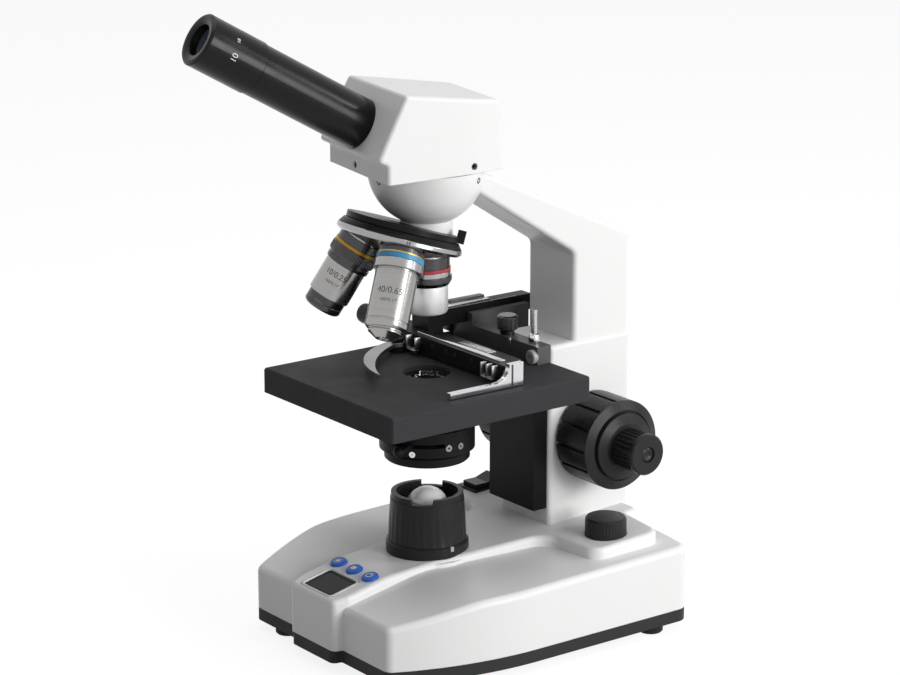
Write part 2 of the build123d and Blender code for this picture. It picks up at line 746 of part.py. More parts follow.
def button_holes():
    """Round holes for the three buttons."""
    plane = panel_plane(BUTTON_Y)
    hole = Cylinder(BUTTON_R + PLAY, 4 * HOUSING_WALL)
    return fuse([plane * (Pos(x, 0, 0) * hole) for _, x in button_places()])


def base_plate():
    """Black tray that closes the base."""
    tray = upright(base_outline(), FOOT_H, HOUSING_Z)
    tray = tray - upright(base_outline(PLATE_WALL), FOOT_H + PLATE_FLOOR, HOUSING_Z + CUT)
    for x, y in boss_places():
        tray = tray - post(PLATE_SCREW_R, x, y, 0, HOUSING_Z)
        tray = tray - post(PLATE_SCREW_HEAD_R, x, y, 0, FOOT_H + PLATE_SCREW_HEAD_H)
    return tray


def rubber_feet():
    """Four round feet."""
    places = [
        (FRONT_HALF - FOOT_SIDE_INSET, FRONT_Y + FOOT_INSET),
        (BASE_HALF - FOOT_INSET, REAR_CORNER_Y - FOOT_REAR_INSET),
    ]
    foot = turned([(0, 0), (FOOT_R - EDGE, 0), (FOOT_R, EDGE), (FOOT_R, FOOT_H), (0, FOOT_H)])
    return [Pos(sign * x, y, 0) * foot for x, y in places for sign in (1, -1)]


def base_plate_screws():
    """Screws from under the tray into the housing bosses."""
    head_z = FOOT_H + PLATE_SCREW_HEAD_H
    low, end, head_r = FOOT_H + FREE, SHOULDER_FRONT_Z - 2 * MIN_CAST, PLATE_SCREW_HEAD_R - RUN
    screw = turned([
        (0, low), (head_r, low), (head_r, head_z), (PLATE_SCREW_R, head_z), (PLATE_SCREW_R, end), (0, end),
    ])
    return [Pos(x, y, 0) * screw for x, y in boss_places()]


def display_window():
    """Dark window of the display."""
    plate = extrude(RectangleRounded(DISPLAY_W, DISPLAY_L, DISPLAY_R), DISPLAY_T)
    return panel_plane(DISPLAY_Y) * (Pos(0, 0, -DISPLAY_SUNK - DISPLAY_T) * plate)


def control_board():
    """Circuit board under the panel, hung on the display and carrying the button switches."""
    plane = panel_plane(DISPLAY_Y)
    run = (BUTTON_Y - DISPLAY_Y) / cos(radians(PANEL_SLOPE))
    glass_low = -DISPLAY_SUNK - DISPLAY_T
    top = -BUTTON_TRAVEL - 2 * HOUSING_WALL - 2 * FREE
    inset = DISPLAY_LIP + DISPLAY_R / 2
    display_half_w, display_half_l = DISPLAY_W / 2 - inset, DISPLAY_L / 2 - inset
    board = block(-BOARD_HALF, BOARD_HALF, -display_half_l, run + SWITCH_CAP / 2, top - BOARD_T, top)
    module = block(-display_half_w, display_half_w, -display_half_l, display_half_l, top, glass_low)
    cap = SWITCH_CAP / 2 - PLAY
    caps = [block(x - cap, x + cap, run - cap, run + cap, top, top + FREE) for _, x in button_places()]
    return plane * fuse([board, module] + caps)


def button(offset_x):
    """Round push button with a stem above its switch."""
    low = -2 * HOUSING_WALL
    cap = turned([
        (0, low), (BUTTON_STEM_R, low), (BUTTON_STEM_R, -HOUSING_WALL), (BUTTON_R, -HOUSING_WALL),
        (BUTTON_R, BUTTON_PROUD - EDGE), (BUTTON_R - EDGE, BUTTON_PROUD), (0, BUTTON_PROUD),
    ])
    return panel_plane(BUTTON_Y) * (Pos(offset_x, 0, 0) * cap)


def brightness_knob():
    """Knob with a stem into the dimmer."""
    low = knob_seat_z() + FREE
    top = low + KNOB_H
    knob = turned([(0, low), (KNOB_R, low), (KNOB_R, top - EDGE), (KNOB_R - EDGE, top), (0, top)])
    stem = post(KNOB_STEM_R, 0, 0, low - KNOB_STEM_L, low + CUT)
    return Pos(KNOB_X, KNOB_Y, 0) * (knob + stem)


def dimmer_pot():
    """Dimmer body under the pad with its sleeve round the knob stem."""
    top = knob_seat_z() - HOUSING_WALL
    half = POT_SIZE / 2
    body = block(-half, half, -half, half, top - POT_H, top)
    sleeve = post(POT_SLEEVE_R, 0, 0, top, knob_seat_z())
    bore = post(KNOB_STEM_R + RUN, 0, 0, knob_seat_z() - KNOB_STEM_L, knob_seat_z() + CUT)
    return Pos(KNOB_X, KNOB_Y, 0) * (body + sleeve - bore)


def switch_body_size():
    """Outer width and length of the switch below its bezel."""
    return ROCKER_W + 2 * (SWITCH_WALL + FREE), ROCKER_L + 2 * (SWITCH_WALL + FREE)


def rocker_axis_z():
    """Height of the rocker's pin."""
    return switch_seat_z() + BEZEL_H / 2


def switch_body():
    """Switch with a bezel on the pad and a well for the rocker."""
    width, length = switch_body_size()
    seat = switch_seat_z()
    bezel = block(-BEZEL_W / 2, BEZEL_W / 2, -BEZEL_L / 2, BEZEL_L / 2, seat, seat + BEZEL_H)
    body = block(-width / 2, width / 2, -length / 2, length / 2, seat - SWITCH_DEPTH, seat)
    half_w, half_l = ROCKER_W / 2 + FREE, ROCKER_L / 2 + FREE
    well = block(-half_w, half_w, -half_l, half_l, seat - SWITCH_DEPTH + 2 * SWITCH_WALL,
                 seat + BEZEL_H + CUT)
    pin_start = (-width / 2 + SWITCH_WALL / 2, 0, rocker_axis_z())
    pin_hole = rod(ROCKER_PIN_R + RUN, pin_start, (1, 0, 0), width - SWITCH_WALL)
    return Pos(ROCKER_X, ROCKER_Y, 0) * (bezel + body - well - pin_hole)


def power_rocker():
    """Rocker tipped to its off side on a pin."""
    half = ROCKER_L / 2 - FREE
    rise = half * tan(radians(ROCKER_TIP))
    end, middle = ROCKER_RISE + 2 * rise, ROCKER_RISE + rise
    face = [(-half, 0), (-half, end), (0, middle), (half, end), (half, 0), (0, -ROCKER_KEEL)]
    body = side_prism(face, ROCKER_W / 2)
    pin = rod(ROCKER_PIN_R, (-ROCKER_W / 2 - SWITCH_WALL / 2, 0, 0), (1, 0, 0), ROCKER_W + SWITCH_WALL)
    return Pos(ROCKER_X, ROCKER_Y, rocker_axis_z()) * (Rot(ROCKER_TIP, 0, 0) * (body + pin))


def power_inlet():
    """Socket for a low-voltage plug in the rear wall."""
    face_y = inlet_face_y()
    inner_y = face_y - INLET_L
    flange = rod(INLET_FLANGE_R, (INLET_X, face_y, INLET_Z), (0, 1, 0), INLET_FLANGE_T)
    barrel = rod(INLET_BARREL_R, (INLET_X, inner_y, INLET_Z), (0, 1, 0), INLET_L)
    bore = rod(INLET_BORE_R, (INLET_X, inner_y + INLET_END, INLET_Z), (0, 1, 0), INLET_L)
    pin = rod(INLET_PIN_R, (INLET_X, inner_y + INLET_END - CUT, INLET_Z), (0, 1, 0), INLET_L - INLET_END)
    return flange + barrel - bore + pin


# Lamp

def lamp_housing():
    """Tapered lamp tube on a collar, with two notches across its rim."""
    collar_z = LAMP_SEAT_Z + LAMP_COLLAR_H
    tube = turned([
        (LAMP_BORE_R, LAMP_SEAT_Z), (LAMP_COLLAR_R, LAMP_SEAT_Z), (LAMP_COLLAR_R, collar_z - EDGE),
        (LAMP_COLLAR_R - EDGE, collar_z), (LAMP_FOOT_R, collar_z), (LAMP_RIM_R, LAMP_TOP_Z),
        (LAMP_CUP_R, LAMP_TOP_Z), (LAMP_CUP_R, LAMP_CUP_Z), (LAMP_BORE_R, LAMP_CUP_Z),
    ])
    half = LAMP_NOTCH_W / 2
    notch = block(-half, half, -LAMP_COLLAR_R, LAMP_COLLAR_R, LAMP_TOP_Z - LAMP_NOTCH_H, LAMP_TOP_Z + CUT)
    return tube - Rot(0, 0, LAMP_NOTCH_TURN) * notch


def field_lens():
    """Domed lens resting on the step inside the lamp."""
    radius = (LENS_R ** 2 + LENS_RISE ** 2) / (2 * LENS_RISE)
    base = LAMP_CUP_Z + LENS_EDGE
    ball = Pos(0, 0, base + LENS_RISE - radius) * Sphere(radius)
    disc = post(LENS_R, 0, 0, LAMP_CUP_Z, base + LENS_RISE)
    return (ball & disc) + post(LENS_R, 0, 0, LAMP_CUP_Z, base)


def lamp_led():
    """Light emitter on its heat spreader in the foot of the lamp."""
    spreader = post(LAMP_BORE_R, 0, 0, LAMP_SEAT_Z, LAMP_SEAT_Z + LED_H)
    dome = Pos(0, 0, LAMP_SEAT_Z + LED_H) * Sphere(LED_R)
    return spreader + dome


# Arm

def turret_plane(height=0):
    """Plane across the nosepiece axis, normal up the axis, local y towards the optical axis."""
    tilt = radians(TURRET_TILT)
    up = Vector(0, sin(tilt), cos(tilt))
    inward = Vector(0, cos(tilt), -sin(tilt))
    centre = Vector(0, 0, SHOULDER_Z) - inward * OBJ_CIRCLE_R + up * height
    return Plane(origin=centre, x_dir=(1, 0, 0), z_dir=up)


def mount_low():
    """Lower face of the fixed nosepiece mount above the shoulder circle."""
    return CONE_TOP + TURRET_RING_T + FREE


def arm():
    """White casting: lower block, post, slanted beam, bowl under the head and neck to the nosepiece."""
    inside = BEAM_FRONT_Y / 2
    rise = (BEAM_FRONT_Z - BEAM_LOW_Z) / (POST_FRONT_Y - BEAM_FRONT_Y)
    side = [
        (POST_FRONT_Y, ARM_SEAT_Z), (POST_FRONT_Y, BEAM_LOW_Z),
        (inside, BEAM_FRONT_Z + (BEAM_FRONT_Y - inside) * rise), (inside, HEAD_SEAT_Z), (BEAM_TOP_Y,
        HEAD_SEAT_Z),
        (ARM_REAR_Y, BEAM_TOP_Z), (ARM_REAR_Y, ARM_SEAT_Z),
    ]
    rounds = [((POST_FRONT_Y, BEAM_LOW_Z), ARM_INNER_R), ((ARM_REAR_Y, BEAM_TOP_Z), ARM_OUTER_R)]
    beam = side_prism(side, ARM_HALF, rounds)
    cheeks = [f for f in beam.faces() if abs(f.normal_at().X) > FACING]
    beam = fillet([e for f in cheeks for e in f.edges()], ARM_ROUND)
    foot = block(-BLOCK_HALF, BLOCK_HALF, BLOCK_FRONT_Y, ARM_REAR_Y, ARM_SEAT_Z, BLOCK_TOP_Z)
    foot = fillet([e for e in foot.edges() if e.center().Z > ARM_SEAT_Z + CUT], ARM_ROUND)
    ball = Pos(0, 0, HEAD_SEAT_Z) * Sphere(BOWL_R)
    bowl = ball & post(BOWL_R + CUT, 0, 0, HEAD_SEAT_Z - 2 * BOWL_R, HEAD_SEAT_Z)
    neck = post(NECK_R, 0, 0, SHOULDER_Z, HEAD_SEAT_Z)
    size = 4 * BOWL_R
    below = turret_plane(mount_low() + MOUNT_T) * (Pos(0, 0, -size) * Box(size, size, size, align=UPWARD))
    neck = neck - below
    casting = fuse([beam, foot, bowl, neck])
    casting = casting - post(SPIGOT_R + RUN, 0, 0, HEAD_SEAT_Z - SPIGOT_H - FREE, HEAD_SEAT_Z + CUT)
    casting = casting - post(LIGHT_R, 0, 0, SHOULDER_Z, HEAD_SEAT_Z)
    casting = casting - block(-CHANNEL_HALF, CHANNEL_HALF, BLOCK_FRONT_Y - CUT, CHANNEL_REAR_Y,
                              CHANNEL_LOW_Z, CHANNEL_TOP_Z)
    casting = casting - rod(BUSH_R, (-BLOCK_HALF - CUT, AXLE_Y, AXLE_Z), (1, 0, 0), 2 * (BLOCK_HALF + CUT))
    for x, y in arm_bolt_places():
        casting = casting - post(ARM_BOLT_R, x, y, ARM_SEAT_Z - CUT, ARM_SEAT_Z + ARM_BOLT_DEPTH)
    return casting


def arm_bolts():
    """Bolts from inside the base up into the arm."""
    low, end = ARM_SEAT_Z - SEAT_BLOCK_H, ARM_SEAT_Z + ARM_BOLT_DEPTH - CUT
    bolt = turned([
        (0, low - ARM_BOLT_HEAD_H), (ARM_BOLT_HEAD_R, low - ARM_BOLT_HEAD_H), (ARM_BOLT_HEAD_R, low),
        (ARM_BOLT_R, low), (ARM_BOLT_R, end), (0, end),
    ])
    return [Pos(x, y, 0) * bolt for x, y in arm_bolt_places()]


# Focus drive

def slide_half(y, clearance):
    """Half-width of the dovetail at a depth, with its clearance."""
    share = (y - SLIDE_FRONT_Y) / SLIDE_T
    return SLIDE_FRONT_HALF + (SLIDE_REAR_HALF - SLIDE_FRONT_HALF) * share + clearance


def focus_guide():
    """Pair of dovetail rails in the arm's channel."""
    corners = [
        (slide_half(BLOCK_FRONT_Y, RUN), BLOCK_FRONT_Y), (CHANNEL_HALF, BLOCK_FRONT_Y),
        (CHANNEL_HALF, SLIDE_REAR_Y), (slide_half(SLIDE_REAR_Y, RUN), SLIDE_REAR_Y),
    ]
    rail = upright(polygon(corners), CHANNEL_LOW_Z, CHANNEL_TOP_Z)
    return [rail, mirror(rail, Plane.YZ)]


def focus_slide():
    """Dovetail slide with a slot for the tongue of the stage bracket."""
    corners = both_sides([(SLIDE_FRONT_HALF, SLIDE_FRONT_Y), (SLIDE_REAR_HALF, SLIDE_REAR_Y)])
    body = upright(polygon(corners), SLIDE_LOW_Z, SLIDE_TOP_Z)
    spare = FINE_TRAVEL + CUT
    slot = block(-TONGUE_HALF - RUN, TONGUE_HALF + RUN, BLOCK_FRONT_Y, BRACKET_REAR_Y + TONGUE_L + FREE,
                 TONGUE_LOW_Z - spare, TONGUE_TOP_Z + spare)
    return body - slot


def focus_rack():
    """Rack on the back of the slide, a gap facing the pinion's tooth."""
    pitch_y = AXLE_Y - GEAR_TEETH * GEAR_MODULE / 2
    back = pitch_y - GEAR_ROOT * GEAR_MODULE - SLIDE_REAR_Y
    plane = Plane(origin=(0, pitch_y, AXLE_Z), x_dir=(0, -1, 0), z_dir=(1, 0, 0))
    half = min(RACK_TOP_Z - AXLE_Z, AXLE_Z - RACK_LOW_Z)
    return rack(2 * half, GEAR_MODULE, BACKLASH, RACK_HALF, back, plane)


def focus_bushes():
    """Flanged bushes for the coarse shaft in the walls of the arm."""
    bush = turned([
        (SHAFT_R + RUN, CHANNEL_HALF), (BUSH_R, CHANNEL_HALF), (BUSH_R, BLOCK_HALF), (BUSH_FLANGE_R,
        BLOCK_HALF),
        (BUSH_FLANGE_R, BLOCK_HALF + BUSH_FLANGE_T), (SHAFT_R + RUN, BLOCK_HALF + BUSH_FLANGE_T),
    ], axle_plane())
    return [bush, mirror(bush, Plane.YZ)]


def axle_plane():
    """Plane across the focus axle, normal to the right, local x away from the user's side."""
    return Plane(origin=(0, AXLE_Y, AXLE_Z), x_dir=(0, -1, 0), z_dir=(1, 0, 0))


def coarse_shaft():
    """Hollow shaft with the pinion cut on it."""
    bar = axle_plane() * Cylinder(SHAFT_R, 2 * SHAFT_HALF)
    gear = pinion(GEAR_TEETH, GEAR_MODULE, BACKLASH, RACK_HALF, axle_plane())
    bore = axle_plane() * Cylinder(FINE_SHAFT_R + RUN, 2 * SHAFT_HALF + CUT)
    return bar + gear - bore


def coarse_knob():
    """Right-hand coarse knob: grooved rim, bevelled edge and a coned nose in a ring groove."""
    bevel = COARSE_RIM_END + COARSE_BEVEL
    step = bevel - COARSE_STEP_L
    knob = turned([
        (SHAFT_R, COARSE_START), (COARSE_R, COARSE_START), (COARSE_R, COARSE_RIM_END), (COARSE_STEP_R, bevel),
        (COARSE_STEP_R, step), (COARSE_NOSE_R, step), (COARSE_NOSE_R, COARSE_END - COARSE_CONE),
        (COARSE_FACE_R, COARSE_END), (FINE_SHAFT_R + RUN, COARSE_END),
        (FINE_SHAFT_R + RUN, SHAFT_HALF), (SHAFT_R, SHAFT_HALF),
    ], axle_plane())
    groove = axle_plane() * (Pos(COARSE_R, 0, COARSE_START) * Box(
        2 * COARSE_GROOVE_D, COARSE_GROOVE_W, 2 * (COARSE_RIM_END - COARSE_START - CUT)))
    axis = Axis((0, AXLE_Y, AXLE_Z), (1, 0, 0))
    for i in range(COARSE_GROOVES):
        knob = knob - groove.rotate(axis, 360 / COARSE_GROOVES * i)
    return knob


def fine_shaft():
    """Thin shaft through the coarse shaft."""
    return axle_plane() * Cylinder(FINE_SHAFT_R, 2 * FINE_SHAFT_HALF)


def fine_knob():
    """Right-hand fine knob with a capped end."""
    start = COARSE_END + FREE
    head = FINE_END - FINE_HEAD_L
    return turned([
        (FINE_SHAFT_R, start), (FINE_NECK_R, start), (FINE_NECK_R, head), (FINE_R, head + EDGE),
        (FINE_R, FINE_END - EDGE), (FINE_R - EDGE, FINE_END), (FINE_RECESS_R, FINE_END),
        (FINE_RECESS_R, FINE_END - FINE_RECESS_D), (0, FINE_END - FINE_RECESS_D), (0, FINE_SHAFT_HALF),
        (FINE_SHAFT_R, FINE_SHAFT_HALF),
    ], axle_plane())


# Stage and condenser

def stage_bracket():
    """Black angle that carries the stage, with a tongue in the slide."""
    front = BRACKET_REAR_Y - BRACKET_T
    plate = block(-BRACKET_HALF, BRACKET_HALF, front, BRACKET_REAR_Y, BRACKET_LOW_Z, STAGE_LOW_Z)
    shelf = block(-BRACKET_HALF, BRACKET_HALF, SHELF_FRONT_Y, front, STAGE_LOW_Z - SHELF_T, STAGE_LOW_Z)
    tongue = block(-TONGUE_HALF, TONGUE_HALF, BRACKET_REAR_Y, BRACKET_REAR_Y + TONGUE_L,
                   TONGUE_LOW_Z, TONGUE_TOP_Z)
    bracket = plate + shelf + tongue
    for x, y in stage_screw_places():
        bracket = bracket - post(STAGE_SCREW_R, x, y, STAGE_LOW_Z - 2 * SHELF_T, STAGE_LOW_Z + CUT)
    return bracket


def stage_screw_places():
    """Plan points of the screws between bracket and stage."""
    return [(sign * STAGE_SCREW_X, y) for y in STAGE_SCREW_Y for sign in (1, -1)]


def stage_plate():
    """Stage with a rim, a boss for the condenser and a pad for the bracket."""
    plate = block(-STAGE_HALF, STAGE_HALF, STAGE_FRONT_Y, STAGE_REAR_Y, STAGE_LOW_Z, STAGE_TOP_Z)
    plate = chamfer([e for e in plate.edges() if e.center().Z > STAGE_LOW_Z], STAGE_CHAMFER)
    half, pad = STAGE_HALF - STAGE_RIM, BRACKET_HALF + STAGE_RIM
    pocket = block(-half, half, STAGE_FRONT_Y + STAGE_RIM, STAGE_REAR_Y - STAGE_RIM,
                   STAGE_LOW_Z - CUT, STAGE_TOP_Z - STAGE_SKIN)
    keep = post(STAGE_BOSS_R, 0, 0, STAGE_LOW_Z, STAGE_TOP_Z)
    keep = keep + block(-pad, pad, 0, STAGE_REAR_Y, STAGE_LOW_Z, STAGE_TOP_Z)
    plate = plate - (pocket - keep) - post(STAGE_HOLE_R, 0, 0, STAGE_LOW_Z - CUT, STAGE_TOP_Z + CUT)
    for x, y in stage_screw_places():
        plate = plate - post(STAGE_SCREW_R, x, y, STAGE_LOW_Z - CUT, STAGE_LOW_Z + STAGE_SCREW_L - SHELF_T)
    return plate - post(PIN_R, PIN_X, CLAMP_MID_Y, STAGE_LOW_Z - CUT, STAGE_TOP_Z + CUT)


def stage_screws():
    """Screws under the shelf, and the bright pin that clamps the slide mover."""
    low = STAGE_LOW_Z - SHELF_T
    screw = turned([
        (0, low - STAGE_SCREW_HEAD_H), (STAGE_SCREW_HEAD_R, low - STAGE_SCREW_HEAD_H),
        (STAGE_SCREW_HEAD_R, low),
        (STAGE_SCREW_R, low), (STAGE_SCREW_R, low + STAGE_SCREW_L - CUT), (0, low + STAGE_SCREW_L - CUT),
    ])
    top = STAGE_TOP_Z + CLAMP_H
    pin = post(PIN_R, PIN_X, CLAMP_MID_Y, STAGE_LOW_Z, top + PIN_H)
    pin = pin + post(PIN_COLLAR_R, PIN_X, CLAMP_MID_Y, top, top + PIN_COLLAR_H)
    return [Pos(x, y, 0) * screw for x, y in stage_screw_places()] + [pin]


def condenser_holder():
    """Ring under the stage that holds the condenser."""
    ring = turned([
        (BARREL_R, BARREL_LOW_Z), (HOLDER_R - EDGE, BARREL_LOW_Z), (HOLDER_R, BARREL_LOW_Z + EDGE),
        (HOLDER_R, STAGE_LOW_Z), (BARREL_R, STAGE_LOW_Z),
    ])
    return ring - condenser_screw()


def condenser_body():
    """Stepped condenser with the iris slot, the snout and the filter's pivot pin."""
    top = STAGE_TOP_Z - CONDENSER_SUNK
    nose_r = TOP_LENS_R + TOP_LENS_WALL
    body = turned([
        (LIGHT_R, SNOUT_LOW_Z), (SNOUT_R, SNOUT_LOW_Z), (SNOUT_R, IRIS_LOW_Z), (IRIS_BODY_R, IRIS_LOW_Z),
        (IRIS_BODY_R, IRIS_TOP_Z), (BARREL_R, IRIS_TOP_Z), (BARREL_R, STAGE_LOW_Z), (nose_r, STAGE_LOW_Z),
        (nose_r, top), (TOP_LENS_R, top), (TOP_LENS_R, top - TOP_LENS_H), (LIGHT_R, top - TOP_LENS_H),
    ])
    mid = (IRIS_LOW_Z + IRIS_TOP_Z) / 2
    half = IRIS_RING_T / 2 + RUN
    body = body - post(IRIS_RING_R + RUN, 0, 0, mid - half, mid + half)
    reach = IRIS_SWING + IRIS_SPARE
    edge = [polar(2 * IRIS_BODY_R, IRIS_LEVER_AZ + turn) for turn in (-reach, 0, reach)]
    body = body - upright(polygon([(0, 0)] + edge), mid - half, mid + half)
    x, y = filter_pivot()
    return body + post(FILTER_PIN_R, x, y, FILTER_LOW_Z, IRIS_LOW_Z)


def filter_pivot():
    """Plan point of the pin that the filter ring swings on."""
    return polar((FILTER_R + FILTER_BORE_R) / 2, FILTER_PIVOT_AZ)


def condenser_lens():
    """Top lens of the condenser."""
    top = STAGE_TOP_Z - CONDENSER_SUNK
    return post(TOP_LENS_R, 0, 0, top - TOP_LENS_H, top)


def condenser_screw():
    """Thumb screw through the holder, bearing on the condenser."""
    height = (BARREL_LOW_Z + STAGE_LOW_Z) / 2
    x, y = polar(1, CLAMP_SCREW_AZ)
    shank = rod(CLAMP_SCREW_R, (x * BARREL_R, y * BARREL_R, height), (x, y, 0), HOLDER_R - BARREL_R + CUT)
    head = rod(CLAMP_HEAD_R, (x * HOLDER_R, y * HOLDER_R, height), (x, y, 0), CLAMP_HEAD_L)
    tip = Sphere(BARREL_R + RUN)
    return shank + head - Pos(0, 0, height) * tip


def iris_lever():
    """Ring of the iris with its lever and ball."""
    mid = (IRIS_LOW_Z + IRIS_TOP_Z) / 2
    half = IRIS_RING_T / 2
    ring = post(IRIS_RING_R, 0, 0, mid - half, mid + half)
    ring = ring - post(LIGHT_R, 0, 0, mid - CUT - half, mid + CUT + half)
    lever = Rot(0, 0, IRIS_LEVER_AZ) * block(
        IRIS_RING_R - CUT, IRIS_LEVER_TIP, -IRIS_LEVER_W / 2, IRIS_LEVER_W / 2, mid - half, mid + half)
    x, y = polar(IRIS_LEVER_TIP, IRIS_LEVER_AZ)
    return ring + lever + Pos(x, y, mid) * Sphere(IRIS_BALL_R)


def filter_holder():
    """Ring for a round filter that swings out under the condenser."""
    lip_r, lip_z = FILTER_BORE_R - FILTER_LIP, FILTER_LOW_Z + EDGE
    ring = turned([
        (lip_r, FILTER_LOW_Z), (FILTER_R - EDGE, FILTER_LOW_Z), (FILTER_R, lip_z), (FILTER_R, FILTER_TOP_Z),
        (FILTER_BORE_R, FILTER_TOP_Z), (FILTER_BORE_R, lip_z), (lip_r, lip_z),
    ])
    x, y = filter_pivot()
    return ring - post(FILTER_PIN_R + RUN, x, y, FILTER_LOW_Z - CUT, FILTER_TOP_Z + CUT)


# Slide mover

def mover_axis_z():
    """Height of the front-to-rear pinion under its rail."""
    return YRAIL_LOW_Z + GEAR_TIP * MOVER_MODULE - MOVER_TEETH * MOVER_MODULE / 2


def stage_clamp_bar():
    """Bar across the rear of the stage with the guide of the front-to-rear rail."""
    left = YRAIL_X - YRAIL_HALF - GUIDE_WALL
    right = YRAIL_X + YRAIL_HALF + GUIDE_WALL
    bar = block(left, CLAMP_RIGHT_X, CLAMP_FRONT_Y, CLAMP_REAR_Y, STAGE_TOP_Z, STAGE_TOP_Z + CLAMP_H)
    guide = block(left, right, CLAMP_FRONT_Y, GUIDE_REAR_Y, STAGE_TOP_Z, GUIDE_TOP_Z)
    slot = block(YRAIL_X - YRAIL_HALF - RUN, YRAIL_X + YRAIL_HALF + RUN, CLAMP_FRONT_Y - CUT,
                 GUIDE_REAR_Y + CUT, YRAIL_LOW_Z - RUN, GUIDE_TOP_Z + CUT)
    tip = MOVER_TEETH * MOVER_MODULE / 2 + MOVER_MODULE + FREE / 2
    axis = (CLAMP_MID_Y, mover_axis_z())
    well_half = YRAIL_HALF - CUT + FREE
    well = rod(tip, (YRAIL_X - well_half, *axis), (1, 0, 0), 2 * well_half)
    bore = rod(MOVER_SHAFT_R + RUN, (left - CUT, *axis), (1, 0, 0), right - left - GUIDE_WALL / 2)
    bar = bar + guide - slot - well - bore
    bar = bar - post(THUMB_SHANK_R, THUMB_X, CLAMP_MID_Y, STAGE_TOP_Z + CUT, GUIDE_TOP_Z)
    return bar - post(PIN_R, PIN_X, CLAMP_MID_Y, STAGE_LOW_Z, GUIDE_TOP_Z)


def clamp_thumbscrew():
    """Black thumb screw on the clamp bar."""
    top = STAGE_TOP_Z + CLAMP_H
    return turned([
        (0, STAGE_TOP_Z + CUT), (THUMB_SHANK_R, STAGE_TOP_Z + CUT), (THUMB_SHANK_R, top), (THUMB_NECK_R, top),
        (THUMB_NECK_R, top + THUMB_NECK_H), (THUMB_R, top + THUMB_NECK_H + EDGE), (THUMB_R,
        top + THUMB_H - EDGE),
        (THUMB_R - EDGE, top + THUMB_H), (0, top + THUMB_H),
    ], Plane(origin=(THUMB_X, CLAMP_MID_Y, 0)))


def y_rail():
    """Front-to-rear rail with a rack under it."""
    root = (GEAR_TIP + GEAR_ROOT) * MOVER_MODULE
    left, right = YRAIL_X - YRAIL_HALF, YRAIL_X + YRAIL_HALF
    bar = block(left, right, RISER_REAR_Y, YRAIL_REAR_Y, YRAIL_LOW_Z, YRAIL_TOP_Z)
    half = YRAIL_HALF - CUT
    bed = block(YRAIL_X - half, YRAIL_X + half, RISER_REAR_Y + CUT, YRAIL_REAR_Y - CUT,
                YRAIL_LOW_Z - CUT, YRAIL_LOW_Z + root)
    pitch_z = YRAIL_LOW_Z + GEAR_TIP * MOVER_MODULE
    plane = Plane(origin=(YRAIL_X, CLAMP_MID_Y, pitch_z), x_dir=(0, 0, 1), z_dir=(1, 0, 0))
    length = 2 * min(YRAIL_REAR_Y - CLAMP_MID_Y, CLAMP_MID_Y - RISER_REAR_Y) - 2 * CUT
    return bar - bed + rack(length, MOVER_MODULE, MOVER_BACKLASH, half, CUT, plane)


def y_knob():
    """Knob, shaft and pinion of the front-to-rear movement."""
    left = YRAIL_X - YRAIL_HALF - GUIDE_WALL - FREE
    axis = (CLAMP_MID_Y, mover_axis_z())
    knob = rod(YKNOB_R, (left - YKNOB_L, *axis), (1, 0, 0), YKNOB_L)
    shaft = rod(MOVER_SHAFT_R, (left, *axis), (1, 0, 0), YRAIL_X + YRAIL_HALF - left)
    plane = Plane(origin=(YRAIL_X, *axis), x_dir=(0, 0, 1), z_dir=(1, 0, 0))
    return knob + shaft + pinion(MOVER_TEETH, MOVER_MODULE, MOVER_BACKLASH, YRAIL_HALF - CUT, plane)


def y_carriage():
    """Cross rail with a groove for the slide holder and a riser for the front-to-rear rail."""
    rail = block(XRAIL_LEFT, XRAIL_RIGHT, XRAIL_FRONT_Y, XRAIL_REAR_Y, XRAIL_LOW_Z, XRAIL_TOP_Z)
    left, right = YRAIL_X - RISER_HALF, YRAIL_X + RISER_HALF
    riser = block(left, right, XRAIL_FRONT_Y, RISER_REAR_Y, XRAIL_TOP_Z, YRAIL_TOP_Z)
    link = block(left, right, XRAIL_REAR_Y, RISER_REAR_Y, XRAIL_LOW_Z, XRAIL_TOP_Z)
    groove = block(XRAIL_LEFT - CUT, XRAIL_RIGHT + CUT, XRAIL_FRONT_Y - CUT, XRAIL_FRONT_Y + GROOVE_D,
                   GROOVE_Z - GROOVE_H / 2, GROOVE_Z + GROOVE_H / 2)
    bore = rod(XSCREW_R + RUN, (XRAIL_LEFT - CUT, XRAIL_FRONT_Y + XSCREW_BEHIND, GROOVE_Z), (1, 0, 0),
               XRAIL_RIGHT - XRAIL_LEFT - CUT)
    return rail + riser + link - groove - bore


def x_knob():
    """Knob and screw of the left-to-right movement."""
    axis = (XRAIL_FRONT_Y + XSCREW_BEHIND, GROOVE_Z)
    end = XRAIL_LEFT - FREE
    knob = rod(XKNOB_R, (end - XKNOB_L, *axis), (1, 0, 0), XKNOB_L)
    return knob + rod(XSCREW_R, (end, *axis), (1, 0, 0), XRAIL_RIGHT - XRAIL_LEFT - 4 * CUT)


